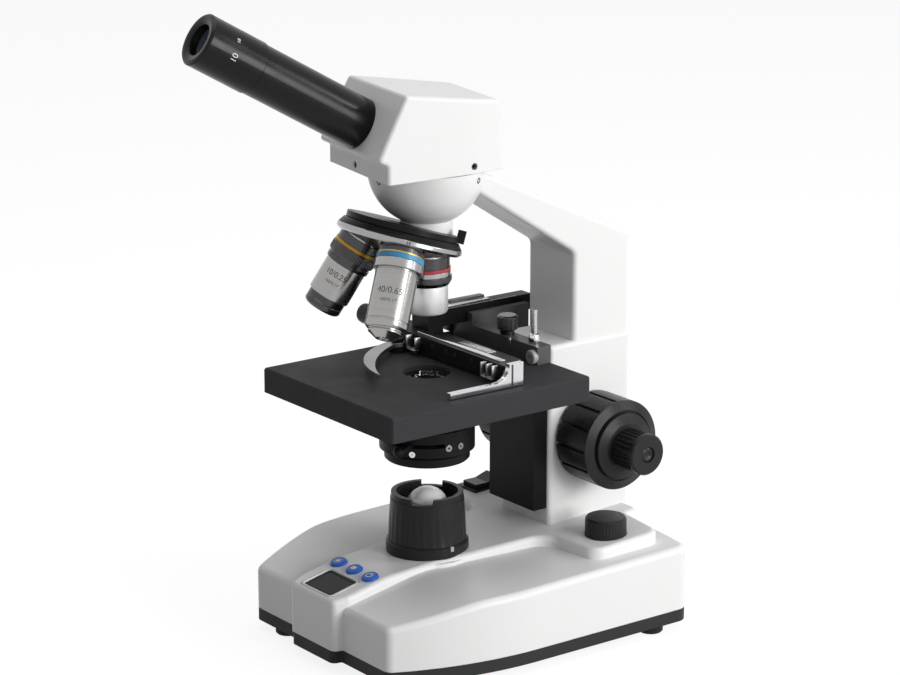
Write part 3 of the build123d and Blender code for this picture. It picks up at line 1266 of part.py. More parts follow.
def slide_holder():
    """Bar that pushes the slide, with a tongue in the cross rail and an ear for the finger."""
    bar_top = HOLDER_LOW_Z + HOLDER_BAR_H
    bar = block(HOLDER_LEFT, HOLDER_RIGHT, HOLDER_FRONT_Y, HOLDER_REAR_Y, HOLDER_LOW_Z, bar_top)
    tongue = block(TONGUE_LEFT, HOLDER_RIGHT, HOLDER_REAR_Y, XRAIL_FRONT_Y + GROOVE_D - FREE,
                   GROOVE_Z - GROOVE_H / 2 + RUN, GROOVE_Z + GROOVE_H / 2 - RUN)
    ear_top = HOLDER_LOW_Z + FINGER_EAR_T
    ear = post(FINGER_EAR_R, FINGER_X, FINGER_Y, HOLDER_LOW_Z, ear_top)
    web = block(FINGER_X - FINGER_EAR_R, FINGER_X + FINGER_EAR_R, FINGER_Y, HOLDER_FRONT_Y, HOLDER_LOW_Z,
                ear_top)
    head_z = ear_top + 2 * FREE + FINGER_T
    pin = post(FINGER_PIN_R, FINGER_X, FINGER_Y, HOLDER_LOW_Z, head_z)
    head = post(FINGER_HEAD_R, FINGER_X, FINGER_Y, head_z, head_z + FINGER_HEAD_H)
    return fuse([bar, tongue, ear, web, pin, head])


def slide_stop():
    """Bright stop on the right end of the bar: a plate with a curved foot and a long strip."""
    top = HOLDER_LOW_Z + STOP_PLATE_H
    strip = HOLDER_LOW_Z + STOP_STRIP_H
    front = HOLDER_FRONT_Y - FREE
    corners = [
        (HOLDER_REAR_Y, HOLDER_LOW_Z), (HOLDER_REAR_Y, top), (front, top), (front, strip),
        (STOP_FRONT_Y, strip), (STOP_FRONT_Y, HOLDER_LOW_Z),
    ]
    radius = min(STOP_CURVE_R, top - strip - CUT / 2)
    face = Plane.YZ * polygon(corners, [((front, strip), radius)])
    return Pos(HOLDER_RIGHT, 0, 0) * extrude(face, STOP_T)


def slide_finger():
    """Crescent spring finger on its pin."""
    low = HOLDER_LOW_Z + FINGER_EAR_T + FREE
    r = FINGER_EAR_R
    root = FINGER_ROOT * r
    start_out, start_in = (FINGER_X - root, FINGER_Y - root), (FINGER_X + root, FINGER_Y - root)
    outer = ThreePointArc(start_out, FINGER_OUTER, FINGER_TIP)
    inner = ThreePointArc(FINGER_TIP, FINGER_INNER, start_in)
    crescent = upright(make_face([outer, inner, Line(start_in, start_out)]), low, low + FINGER_T)
    ring = post(r, FINGER_X, FINGER_Y, low, low + FINGER_T)
    return crescent + ring - post(FINGER_PIN_R + RUN, FINGER_X, FINGER_Y, low - CUT, low + FINGER_T + CUT)


# Nosepiece and objectives

def nosepiece_mount():
    """Fixed disc on the neck of the arm, with the hub that the turret turns on and a side tab."""
    low = mount_low()
    disc = Pos(0, 0, low) * Cylinder(MOUNT_R, MOUNT_T, align=UPWARD)
    hub = Cylinder(HUB_R, low, align=UPWARD)
    tab = Rot(0, 0, TAB_AZ) * Pos(MOUNT_R + TAB_OUT, 0, low) * Box(TAB_L, TAB_W, TAB_H, align=UPWARD)
    return turret_plane() * fuse([disc, hub, tab]) - post(LIGHT_R, 0, 0, SHOULDER_Z, HEAD_SEAT_Z)


def objective_plane(angle):
    """Plane on the seat of an objective, normal back into the turret."""
    tilt = radians(TURRET_TILT)
    turn = radians(angle)
    base = turret_plane()
    inward = Vector(0, cos(tilt), -sin(tilt))
    out = inward * cos(turn) + Vector(1, 0, 0) * sin(turn)
    seat = base.origin + out * OBJ_CIRCLE_R
    normal = base.z_dir * cos(tilt) - out * sin(tilt)
    return Plane(origin=seat, x_dir=base.z_dir.cross(out), z_dir=normal)


def turret_bores():
    """Threaded holes for the objectives, right through the turret."""
    depth = CONE_TOP + TURRET_RING_T + 2 * THREAD_L
    hole = Pos(0, 0, -CUT - THREAD_L) * Cylinder(THREAD_R, depth + THREAD_L, align=UPWARD)
    return fuse([objective_plane(a) * hole for a in (ANGLE_4X, ANGLE_10X, ANGLE_40X)])


def turret_cone():
    """Bright cone that carries the objectives."""
    slope = tan(radians(TURRET_TILT))
    flat = (TURRET_FLAT_R - OBJ_CIRCLE_R) * slope
    rim = (TURRET_CONE_R - OBJ_CIRCLE_R) * slope
    hub = HUB_R + RUN
    top = CONE_TOP + CUT
    cone = turned([
        (0, flat), (TURRET_FLAT_R, flat), (TURRET_CONE_R, rim), (TURRET_CONE_R, top), (hub, top), (hub,
        -RUN), (0, -RUN),
    ], turret_plane())
    return cone - turret_bores()


def turret_ring():
    """Gripping ring round the top of the cone, narrower towards the mount."""
    low, top = CONE_TOP + CUT, CONE_TOP + TURRET_RING_T
    ring = turned([
        (HUB_R + RUN, low), (TURRET_R - EDGE, low), (TURRET_R, low + EDGE), (TURRET_R, low + TURRET_SKIRT_H),
        (TURRET_TOP_R, top), (HUB_R + RUN, top),
    ], turret_plane())
    return ring - turret_bores()


def objective(angle, length, waist, nose):
    """Objective on its seat: thread, grooved collar, barrel and tapered nose."""
    collar_end = -OBJ_COLLAR_L
    groove_end = collar_end - 2 * OBJ_GROOVE
    nose_start = -length + nose[1]
    bore = nose[0] - OBJ_WALL
    corners = [
        (bore, THREAD_L), (THREAD_R, THREAD_L), (THREAD_R, 0), (OBJ_COLLAR_R, 0), (OBJ_COLLAR_R, collar_end),
        (OBJ_BARREL_R - OBJ_GROOVE, collar_end), (OBJ_BARREL_R - OBJ_GROOVE, groove_end), (waist, groove_end),
        (waist, nose_start), (nose[0], -length), (bore, -length),
    ]
    return turned(corners, objective_plane(angle))


def objectives():
    """Angle, length, barrel radius and nose (end radius, taper length) of each objective."""
    return {
        "objective_4x": (ANGLE_4X, LENGTH_4X, OBJ_BARREL_R, NOSE_4X),
        "objective_10x": (ANGLE_10X, LENGTH_10X, OBJ_BARREL_R, NOSE_10X),
        "objective_40x": (ANGLE_40X, LENGTH_40X, OBJ_BARREL_R, NOSE_40X),
    }


def objective_lenses():
    """Front lens in the end of each objective."""
    lenses = []
    for angle, length, _, nose in objectives().values():
        lens = Pos(0, 0, -length + OBJ_LENS_T / 2) * Cylinder(nose[0] - OBJ_WALL, OBJ_LENS_T, align=UPWARD)
        lenses.append(objective_plane(angle) * lens)
    return lenses


# Head and eyepiece, built straight ahead and then turned as the photo has them

def turned_head(piece):
    """Piece of the head turned about the optical axis."""
    return Rot(0, 0, HEAD_TURN) * piece


def tube_plane():
    """Plane where the tube leaves the head, normal along the tube to the eye."""
    tilt = radians(TUBE_TILT)
    origin = (0, -TUBE_FACE[0], HEAD_SEAT_Z + FREE + TUBE_FACE[1])
    return Plane(origin=origin, x_dir=(1, 0, 0), z_dir=(0, -cos(tilt), sin(tilt)))


def head_form(inset):
    """Outer form of the head, or its hollow when inset by the wall."""
    low = HEAD_SEAT_Z + FREE
    side = [
        (-HEAD_FRONT + inset, low - CUT if inset else low), (-HEAD_FRONT + inset, low + HEAD_FLANGE_H),
        (-HEAD_LIP[0] + inset, low + HEAD_LIP[1]), (-HEAD_BROW[0] + inset / 2, low + HEAD_BROW[1] - inset),
        (HEAD_TAIL[1] - HEAD_REAR_LEAN - inset, low + HEAD_REAR_H - inset),
        (HEAD_TAIL[1] - inset, low - CUT if inset else low),
    ]
    prism = side_prism(side, HEAD_HALF + CUT)
    taper = (HEAD_HALF - HEAD_WAIST[0]) / (HEAD_FRONT + HEAD_WAIST[1])
    far = 2 * HEAD_LIP[0]
    waist = (HEAD_WAIST[0] - inset, HEAD_WAIST[1])
    tail_taper = (HEAD_WAIST[0] - HEAD_TAIL[0]) / (HEAD_TAIL[1] - HEAD_WAIST[1])
    plan = polygon(both_sides([
        (HEAD_HALF + (far - HEAD_FRONT) * taper - inset, -far), waist,
        (HEAD_TAIL[0] - HEAD_ROUND * tail_taper - inset, HEAD_TAIL[1] + HEAD_ROUND),
    ]), mirrored_rounds([(waist, HEAD_WAIST_R)]))
    return prism & upright(plan, low - 2 * CUT, low + 2 * HEAD_BROW[1])


def head_housing():
    """White head shell with a spigot in the arm and a sleeve for the tube."""
    low = HEAD_SEAT_Z + FREE
    form = head_form(0)
    form = fillet([e for e in form.edges() if e.center().Z > low + HEAD_FLANGE_H / 4], HEAD_ROUND)
    hollow = head_form(HEAD_WALL) & post(2 * HEAD_LIP[0], 0, 0, low + HEAD_WALL, low + HEAD_BROW[1])
    sleeve = tube_plane() * (Pos(0, 0, -TUBE_IN) * Cylinder(TUBE_R + HEAD_WALL, TUBE_IN, align=UPWARD)) & form
    spigot = post(SPIGOT_R, 0, 0, low - SPIGOT_H, low)
    shell = form - hollow + sleeve + spigot
    shell = shell - tube_plane() * (Pos(0, 0, -TUBE_IN) * Cylinder(TUBE_R, 3 * TUBE_IN, align=UPWARD))
    shell = shell - post(LIGHT_R, 0, 0, low - 2 * SPIGOT_H, low + HEAD_WALL + CUT)
    for hole in grubs(2 * CUT):
        shell = shell - hole
    return turned_head(shell)


def grubs(proud=0.0):
    """Grub screws in the flange of the head, before it is turned; proud ones open their holes."""
    height = HEAD_SEAT_Z + FREE + GRUB_Z
    sunk, length = CUT / 2 - proud, GRUB_L + proud
    front = rod(GRUB_R, (GRUB_FRONT_X, -HEAD_FRONT + sunk, height), (0, 1, 0), length)
    share = (GRUB_SIDE_Y + HEAD_FRONT) / (HEAD_WAIST[1] + HEAD_FRONT)
    wall_x = HEAD_HALF + (HEAD_WAIST[0] - HEAD_HALF) * share
    return [front, rod(GRUB_R, (wall_x - sunk, GRUB_SIDE_Y, height), (-1, 0, 0), length)]


def head_screws():
    """The grub screws as separate pieces."""
    return [turned_head(grub) for grub in grubs()]


def head_prism():
    """Prism on the floor of the head, turning the light into the tube."""
    low = HEAD_SEAT_Z + FREE + HEAD_WALL
    half = PRISM_HALF
    lean = PRISM_H * tan(radians(TUBE_TILT))
    top = low + PRISM_H
    side = [(-half, low), (half, low), (half, low + PRISM_BASE), (half - lean, top), (-half, top)]
    return turned_head(side_prism(side, half))


def eyepiece_tube():
    """Black tube from the head to the eyepiece."""
    tube = turned([
        (TUBE_BORE_R, -TUBE_IN), (TUBE_R, -TUBE_IN), (TUBE_R, TUBE_OUT), (TUBE_BORE_R, TUBE_OUT),
    ], tube_plane())
    return turned_head(tube)


def eyepiece():
    """Eyepiece with its inner barrel in the tube and a hollow eye end."""
    start, end = TUBE_OUT + FREE, TUBE_OUT + FREE + EYEPIECE_HEAD_L
    inner = EYEPIECE_R - EYEPIECE_WALL
    low, lens_top = TUBE_OUT - EYEPIECE_IN, end - EYE_RECESS
    lens_low = lens_top - EYE_LENS_T
    barrel = turned([
        (inner, low), (EYEPIECE_R, low), (EYEPIECE_R, start), (EYEPIECE_HEAD_R, start),
        (EYEPIECE_HEAD_R, end - EDGE), (EYEPIECE_HEAD_R - EDGE, end), (EYE_RECESS_R, end), (EYE_LENS_R,
        lens_top), (EYE_LENS_R, lens_low),
        (inner, lens_low - EYE_STEP),
    ], tube_plane())
    return turned_head(barrel)


def eyepiece_lens():
    """Eye lens."""
    low = TUBE_OUT + FREE + EYEPIECE_HEAD_L - EYE_RECESS - EYE_LENS_T
    lens = Pos(0, 0, low) * Cylinder(EYE_LENS_R, EYE_LENS_T, align=UPWARD)
    return turned_head(tube_plane() * lens)


def save(name, shape):
    """Write one node; a list becomes separate solids."""
    if isinstance(shape, list):
        shape = Compound(children=[piece if isinstance(piece,
                         Solid) else piece.solids()[0] for piece in shape])
    export_step(shape, f"parts/{name}.step")


def main():
    os.makedirs("parts", exist_ok=True)
    makers = [
        base_housing, base_plate, rubber_feet, base_plate_screws, display_window, control_board,
        brightness_knob,
        dimmer_pot, switch_body, power_rocker, power_inlet, lamp_housing, field_lens, lamp_led, arm,
        arm_bolts,
        focus_guide, focus_slide, focus_rack, focus_bushes, coarse_shaft, fine_shaft, stage_bracket,
        stage_plate,
        stage_screws, condenser_holder, condenser_body, condenser_lens, condenser_screw, iris_lever,
        filter_holder,
        stage_clamp_bar, clamp_thumbscrew, y_rail, y_knob, y_carriage, x_knob, slide_holder, slide_stop,
        slide_finger,
        nosepiece_mount, turret_cone, turret_ring, objective_lenses, head_housing, head_screws, head_prism,
        eyepiece_tube, eyepiece, eyepiece_lens,
    ]
    for maker in makers:
        save(maker.__name__, maker())
    for name, offset_x in button_places():
        save(name, button(offset_x))
    for name, make in (("coarse_knob", coarse_knob), ("fine_knob", fine_knob)):
        right = make()
        save(f"{name}_right", right)
        save(f"{name}_left", mirror(right, Plane.YZ))
    for name, (angle, length, waist, nose) in objectives().items():
        save(name, objective(angle, length, waist, nose))


main()
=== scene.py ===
import math

import bmesh
import bpy
from mathutils import Matrix, Vector


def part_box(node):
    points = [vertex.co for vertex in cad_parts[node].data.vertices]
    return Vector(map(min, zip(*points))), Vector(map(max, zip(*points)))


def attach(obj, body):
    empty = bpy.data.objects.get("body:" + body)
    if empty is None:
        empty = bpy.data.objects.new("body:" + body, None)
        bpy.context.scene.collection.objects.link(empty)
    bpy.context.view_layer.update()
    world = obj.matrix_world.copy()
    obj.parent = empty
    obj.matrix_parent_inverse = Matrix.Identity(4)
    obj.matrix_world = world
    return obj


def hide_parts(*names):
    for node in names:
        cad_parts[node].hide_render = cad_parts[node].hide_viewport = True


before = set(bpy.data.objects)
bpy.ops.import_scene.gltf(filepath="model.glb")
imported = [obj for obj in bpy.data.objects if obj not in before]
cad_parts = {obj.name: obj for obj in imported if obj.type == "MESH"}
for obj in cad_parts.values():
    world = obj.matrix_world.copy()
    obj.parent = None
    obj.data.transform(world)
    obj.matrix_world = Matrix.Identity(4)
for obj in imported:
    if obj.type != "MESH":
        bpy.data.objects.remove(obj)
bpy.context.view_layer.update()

# Student microscope, dressed over its solids. Sizes below are in millimetres unless they say otherwise.
MM = 0.001
TURRET_TILT = math.radians(18)
OBJECTIVE_CIRCLE = 18.9
SHOULDER_Z = 197.8
HEAD_TURN = math.radians(-8.8)
HEAD_SEAT_Z = 242.5
TUBE_FACE = (34.9, 23.3)
TUBE_TILT = math.radians(30)
TUBE_OUT = 66.3
EYEPIECE_R = 13.2
AXLE = (0, 88.8, 94.1)
PANEL_SLOPE = math.radians(12.4)
GRUB_RISE = 3.6  # grub screws of the head, above its seat
BOWL_SCREW_R = 28.85
BOWL_SCREW_Z = 237.9
MARK_PROUD = 0.04
NUMBER_PROUD = 0.03
SIGN_LOW, SIGN_HIGH = -0.05, 0.06  # button signs, about the button's top
POST_Y = 55.25  # thumbscrew and pin of the clamp, and the front-to-rear knob
CONDENSER_R = 24.0
STUD_PROUD = 0.4
CAMERA_PLACE = (1167.9, -861.3, 558.6)
CAMERA_TARGET = (-24.28, 32.56, 144.60)
CAMERA_LENS = 121.65


# Wiring of node trees
def new_tree(kind, name, inputs, outputs):
    """Node group with named sockets; a row is (label, socket type, start value)."""
    tree = bpy.data.node_groups.new(name, kind)
    for in_out, rows in (("INPUT", inputs), ("OUTPUT", outputs)):
        for label, socket_type, *value in rows:
            socket = tree.interface.new_socket(label, in_out=in_out, socket_type="NodeSocket" + socket_type)
            if value:
                socket.default_value = value[0]
    return tree, tree.nodes.new("NodeGroupInput").outputs, tree.nodes.new("NodeGroupOutput").inputs


def add(tree, kind, inputs=None, **settings):
    """Node with its settings, and its sockets filled by values or links."""
    node = tree.nodes.new(kind)
    for name, value in settings.items():
        setattr(node, name, value)
    for key, value in (inputs or {}).items():
        if isinstance(value, bpy.types.NodeSocket):
            tree.links.new(value, node.inputs[key])
        else:
            node.inputs[key].default_value = value
    return node


def math_node(tree, operation, *values):
    """One sum on values or sockets."""
    return add(tree, "ShaderNodeMath", dict(enumerate(values)), operation=operation).outputs[0]


# Surface effects shared by the finishes
def skin_group():
    """Fine grain height and slow tone of a painted or moulded skin."""
    tree, given, out = new_tree("ShaderNodeTree", "Skin", [
        ("Vector", "Vector"), ("Grain", "Float", 900.0), ("Mottle", "Float", 30.0),
    ], [("Height", "Float"), ("Tone", "Float")])
    grain = add(tree, "ShaderNodeTexNoise", {"Vector": given["Vector"], "Scale": given["Grain"], "Detail": 2.0})
    mottle = add(tree, "ShaderNodeTexNoise", {"Vector": given["Vector"], "Scale": given["Mottle"], "Detail": 4.0})
    tree.links.new(grain.outputs["Fac"], out["Height"])
    tree.links.new(mottle.outputs["Fac"], out["Tone"])
    return tree


def edge_group():
    """Softened normal at edges and a patchy mask along them, used for edge wear and, on finishes with bright edges,
    partly as a painted highlight.
    """
    tree, given, out = new_tree("ShaderNodeTree", "Edge Wear And Glint", [
        ("Vector", "Vector"), ("Radius", "Float", 0.0004), ("Patches", "Float", 150.0),
    ], [("Mask", "Float"), ("Normal", "Vector")])
    soft = add(tree, "ShaderNodeBevel", {"Radius": given["Radius"]}, samples=4)
    flat = add(tree, "ShaderNodeNewGeometry")
    same = add(tree, "ShaderNodeVectorMath", {0: soft.outputs[0], 1: flat.outputs["Normal"]}, operation="DOT_PRODUCT")
    edge = add(tree, "ShaderNodeMapRange", {"Value": same.outputs["Value"], 1: 0.99, 2: 0.80, 3: 0.0, 4: 1.0})
    patch = add(tree, "ShaderNodeTexNoise", {"Vector": given["Vector"], "Scale": given["Patches"], "Detail": 3.0})
    worn_and_glinting = add(tree, "ShaderNodeMapRange", {"Value": patch.outputs["Fac"], 1: 0.42, 2: 0.62, 3: 0.0, 4: 1.0})
    tree.links.new(math_node(tree, "MULTIPLY", edge.outputs[0], worn_and_glinting.outputs[0]), out["Mask"])
    tree.links.new(soft.outputs[0], out["Normal"])
    return tree


def turning_group():
    """Lathe lines about the local z axis."""
    tree, given, out = new_tree("ShaderNodeTree", "Turning Lines", [
        ("Vector", "Vector"), ("Fineness", "Float", 6000.0),
    ], [("Height", "Float"), ("Tone", "Float")])
    split = add(tree, "ShaderNodeSeparateXYZ", {0: given["Vector"]})
    flat = add(tree, "ShaderNodeCombineXYZ", {0: split.outputs[0], 1: split.outputs[1]})
    reach = add(tree, "ShaderNodeVectorMath", {0: flat.outputs[0]}, operation="LENGTH")
    spot = add(tree, "ShaderNodeCombineXYZ", {0: reach.outputs["Value"], 1: split.outputs[2]})
    lines = add(tree, "ShaderNodeTexNoise", {"Vector": spot.outputs[0], "Scale": given["Fineness"], "Detail": 3.0})
    broad = add(tree, "ShaderNodeTexNoise", {
        "Vector": spot.outputs[0], "Scale": math_node(tree, "MULTIPLY", given["Fineness"], 0.12), "Detail": 2.0})
    tree.links.new(lines.outputs["Fac"], out["Height"])
    tree.links.new(broad.outputs["Fac"], out["Tone"])
    return tree


def handling_group():
    """Smudges left by hands, from 0 to 1."""
    tree, given, out = new_tree("ShaderNodeTree", "Handling", [
        ("Vector", "Vector"), ("Size", "Float", 60.0),
    ], [("Smudge", "Float")])
    noise = add(tree, "ShaderNodeTexNoise", {
        "Vector": given["Vector"], "Scale": given["Size"], "Detail": 5.0, "Distortion": 0.6})
    spread = add(tree, "ShaderNodeMapRange", {"Value": noise.outputs["Fac"], 1: 0.3, 2: 0.7, 3: 0.0, 4: 1.0})
    tree.links.new(spread.outputs[0], out["Smudge"])
    return tree


SKIN, EDGE, TURNING, HANDLING = skin_group(), edge_group(), turning_group(), handling_group()


def shade(colour, factor):
    """Colour made lighter or darker."""
    return tuple(min(1.0, c * factor) for c in colour) + (1.0,)


def finish(name, colour, rough, metallic=0.0, tone=0.04, spread=0.06, grain=900.0, mottle=30.0, depth=0.01,
           round_by=0.35, wear_and_glint=0.0, wear_and_glint_colour=(0.5, 0.5, 0.5), axis=None, fineness=6000.0, **sockets):
    """Procedural finish: tone, smudges, grain or lathe lines, softened edges, and edge wear that on bright-edged
    finishes is partly a painted highlight.
    """
    material = bpy.data.materials.new(name)
    material.use_nodes = True
    tree = material.node_tree
    shader = tree.nodes["Principled BSDF"]
    place = add(tree, "ShaderNodeTexCoord").outputs["Object"]
    skin = add(tree, "ShaderNodeGroup", node_tree=SKIN)
    edge = add(tree, "ShaderNodeGroup", node_tree=EDGE)
    hand = add(tree, "ShaderNodeGroup", node_tree=HANDLING)
    for group in (skin, edge, hand):
        tree.links.new(place, group.inputs["Vector"])
    skin.inputs["Grain"].default_value = grain
    skin.inputs["Mottle"].default_value = mottle
    edge.inputs["Radius"].default_value = round_by * MM
    hand.inputs["Size"].default_value = 2 * mottle
    height, shift = skin.outputs["Height"], skin.outputs["Tone"]
    if axis is not None:
        turn = axis.to_3x3().inverted().to_euler()
        start = -(axis.to_3x3().inverted() @ axis.translation)
        mapping = add(tree, "ShaderNodeMapping", {"Vector": place, "Location": start, "Rotation": turn})
        lines = add(tree, "ShaderNodeGroup", {"Vector": mapping.outputs[0], "Fineness": fineness}, node_tree=TURNING)
        height, shift = lines.outputs["Height"], lines.outputs["Tone"]
    mix = add(tree, "ShaderNodeMix", {"Factor": shift, 6: shade(colour, 1 - tone), 7: shade(colour, 1 + tone)},
              data_type="RGBA")
    paint = mix.outputs[2]
    # Edge colour: wear, and on the gunmetal partly a painted highlight along the edges.
    if wear_and_glint:
        amount = math_node(tree, "MULTIPLY", edge.outputs["Mask"], wear_and_glint)
        paint = add(tree, "ShaderNodeMix", {"Factor": amount, 6: paint, 7: shade(wear_and_glint_colour, 1.0)},
                    data_type="RGBA").outputs[2]
    gloss = add(tree, "ShaderNodeMapRange", {
        "Value": hand.outputs["Smudge"], 1: 0.0, 2: 1.0, 3: max(0.02, rough - spread), 4: rough + spread})
    bump = add(tree, "ShaderNodeBump", {"Height": height, "Normal": edge.outputs["Normal"], "Distance": depth * MM})
    tree.links.new(paint, shader.inputs["Base Color"])
    tree.links.new(gloss.outputs[0], shader.inputs["Roughness"])
    tree.links.new(bump.outputs[0], shader.inputs["Normal"])
    shader.inputs["Metallic"].default_value = metallic
    for key, value in sockets.items():
        shader.inputs[key.replace("_", " ")].default_value = value
    return material


# Places of the tilted pieces
def stand_at(origin, z_dir, x_dir):
    """Matrix of a place with its own axes."""
    z = Vector(z_dir).normalized()
    x = Vector(x_dir)
    x = (x - z * x.dot(z)).normalized()
    matrix = Matrix((x, z.cross(x), z)).transposed().to_4x4()
    matrix.translation = Vector(origin) * MM
    return matrix


TURRET_UP = Vector((0, math.sin(TURRET_TILT), math.cos(TURRET_TILT)))
TURRET_IN = Vector((0, math.cos(TURRET_TILT), -math.sin(TURRET_TILT)))
TURRET_CENTRE = Vector((0, 0, SHOULDER_Z)) - TURRET_IN * OBJECTIVE_CIRCLE
TURRET = stand_at(TURRET_CENTRE, TURRET_UP, (1, 0, 0))


def objective_seat(angle):
    """Place of an objective, its z axis back into the turret."""
    turn = math.radians(angle)
    out = TURRET_IN * math.cos(turn) + Vector((1, 0, 0)) * math.sin(turn)
    normal = TURRET_UP * math.cos(TURRET_TILT) - out * math.sin(TURRET_TILT)
    return stand_at(TURRET_CENTRE + out * OBJECTIVE_CIRCLE, normal, TURRET_UP.cross(out))


SEAT_4X, SEAT_10X, SEAT_40X = objective_seat(0), objective_seat(240), objective_seat(120)
HEAD_SPIN = Matrix.Rotation(HEAD_TURN, 4, "Z")
TUBE = HEAD_SPIN @ stand_at((0, -TUBE_FACE[0], HEAD_SEAT_Z + TUBE_FACE[1]),
                            (0, -math.cos(TUBE_TILT), math.sin(TUBE_TILT)), (1, 0, 0))
AXLE_RIGHT = stand_at(AXLE, (1, 0, 0), (0, -1, 0))
AXLE_LEFT = stand_at(AXLE, (-1, 0, 0), (0, -1, 0))
PANEL_UP = Vector((0, -math.sin(PANEL_SLOPE), math.cos(PANEL_SLOPE)))
UPRIGHT = Matrix()

# Finishes
WHITE_PAINT = finish("white_paint", (0.80, 0.80, 0.795), 0.36, tone=0.012, grain=700.0, mottle=14.0, depth=0.008,
                     round_by=0.5, Specular_IOR_Level=0.3)
BLACK_PAINT = finish("black_paint", (0.009, 0.009, 0.010), 0.40, tone=0.15, grain=1600.0, mottle=40.0, depth=0.006,
                     wear_and_glint=0.25, wear_and_glint_colour=(0.10, 0.10, 0.10), Specular_IOR_Level=0.08)
STAGE_ENAMEL = finish("stage_enamel", (0.041, 0.041, 0.044), 0.58, tone=0.08, grain=2600.0, mottle=25.0, depth=0.010,
                      round_by=0.6, wear_and_glint=0.35, wear_and_glint_colour=(0.12, 0.12, 0.125), Specular_IOR_Level=0.06)
TUBE_BLACK = finish("tube_black", (0.004, 0.004, 0.005), 0.25, tone=0.15, mottle=35.0, depth=0.002, axis=TUBE,
                    fineness=9000.0, Specular_IOR_Level=0.20)
KNOB_PLASTIC = finish("knob_plastic", (0.022, 0.022, 0.023), 0.30, tone=0.12, grain=2200.0, mottle=50.0, depth=0.008,
                      round_by=0.5, wear_and_glint=0.2, wear_and_glint_colour=(0.09, 0.09, 0.09), Specular_IOR_Level=0.14)
LAMP_BLACK = finish("lamp_black", (0.020, 0.020, 0.021), 0.34, tone=0.12, grain=1800.0, mottle=40.0, depth=0.006,
                    wear_and_glint=0.2, wear_and_glint_colour=(0.1, 0.1, 0.1), Specular_IOR_Level=0.12)
CLAMP_GREY = finish("clamp_grey", (0.085, 0.084, 0.083), 0.36, tone=0.10, grain=1800.0, mottle=40.0, depth=0.006,
                    wear_and_glint=0.4, wear_and_glint_colour=(0.2, 0.2, 0.2), Specular_IOR_Level=0.25)
TRAY_BLACK = finish("tray_black", (0.036, 0.036, 0.037), 0.50, tone=0.10, grain=1800.0, mottle=40.0, depth=0.010,
                    wear_and_glint=0.2, wear_and_glint_colour=(0.1, 0.1, 0.1), Specular_IOR_Level=0.08)
FOOT_RUBBER = finish("foot_rubber", (0.016, 0.016, 0.016), 0.75, tone=0.2, grain=1500.0, mottle=80.0, depth=0.03,
                     Specular_IOR_Level=0.2)
SPRING_STEEL = finish("spring_steel", (0.24, 0.24, 0.245), 0.32, metallic=1.0, tone=0.10, grain=3000.0, depth=0.004,
                      wear_and_glint=0.6, wear_and_glint_colour=(0.5, 0.5, 0.5))
STEEL = finish("machined_steel", (0.46, 0.46, 0.47), 0.28, metallic=1.0, tone=0.08, grain=3000.0, depth=0.004)
DARK_STEEL = finish("dark_steel", (0.045, 0.045, 0.05), 0.35, metallic=1.0, tone=0.10, grain=3000.0, depth=0.004)
CHROME = finish("bright_chrome", (0.62, 0.62, 0.63), 0.14, metallic=1.0, tone=0.04, spread=0.05, grain=1500.0,
                depth=0.001)
BRASS = finish("brass", (0.50, 0.33, 0.10), 0.28, metallic=1.0, tone=0.06, grain=3000.0, depth=0.004)
# Gunmetal: its strong light edges are partly wear and partly a painted highlight, glints along the edges of rings,
# grips and knurls.
GUNMETAL = finish("gunmetal", (0.07, 0.07, 0.073), 0.26, metallic=1.0, tone=0.08, grain=2500.0, depth=0.004,
                  wear_and_glint=0.8, wear_and_glint_colour=(0.42, 0.42, 0.42))
BAND_GOLD = finish("band_gold", (0.42, 0.22, 0.02), 0.32, tone=0.06, depth=0.002, metallic=0.5)
BAND_BLUE = finish("band_blue", (0.028, 0.24, 0.46), 0.32, tone=0.06, depth=0.002)
BAND_RED = finish("band_red", (0.36, 0.022, 0.035), 0.32, tone=0.06, depth=0.002)
BUTTON_BLUE = finish("button_blue", (0.020, 0.12, 0.53), 0.36, tone=0.08, grain=1800.0, depth=0.004, round_by=0.5,
                     Specular_IOR_Level=0.3)
MARK_PALE = finish("mark_pale", (0.72, 0.72, 0.70), 0.5, tone=0.04, grain=3000.0, depth=0.002, round_by=0.05)
GREY_PAINT = finish("grey_paint", (0.36, 0.36, 0.36), 0.5, tone=0.04, grain=3000.0, depth=0.002, round_by=0.05)
MARK_DARK = finish("mark_dark", (0.02, 0.02, 0.02), 0.5, tone=0.10, grain=3000.0, depth=0.002, round_by=0.05)
DISPLAY = finish("display", (0.012, 0.013, 0.013), 0.14, tone=0.10, grain=400.0, depth=0.0005, spread=0.04,
                 Specular_IOR_Level=0.08)
BOARD = finish("board", (0.02, 0.14, 0.06), 0.5, tone=0.15, grain=2000.0, mottle=120.0, depth=0.02)
LAMP_METAL = finish("lamp_metal", (0.80, 0.78, 0.70), 0.25, metallic=1.0, tone=0.05, depth=0.004)
CHROME_TURNED = {seat: finish("turned_chrome_" + seat, (0.34, 0.335, 0.33), 0.20, metallic=1.0, tone=0.10,
                              spread=0.04, depth=0.006, axis=matrix, fineness=4000.0)
                 for seat, matrix in (("4x", SEAT_4X), ("10x", SEAT_10X), ("40x", SEAT_40X))}
SILVER = finish("satin_silver", (0.72, 0.72, 0.72), 0.36, metallic=0.6, tone=0.03, depth=0.003, axis=SEAT_4X,
                fineness=5000.0, Specular_IOR_Level=0.3)
TURRET_METAL = finish("turret_metal", (0.34, 0.34, 0.345), 0.24, metallic=1.0, tone=0.08, depth=0.006, axis=TURRET,
                      fineness=3000.0)
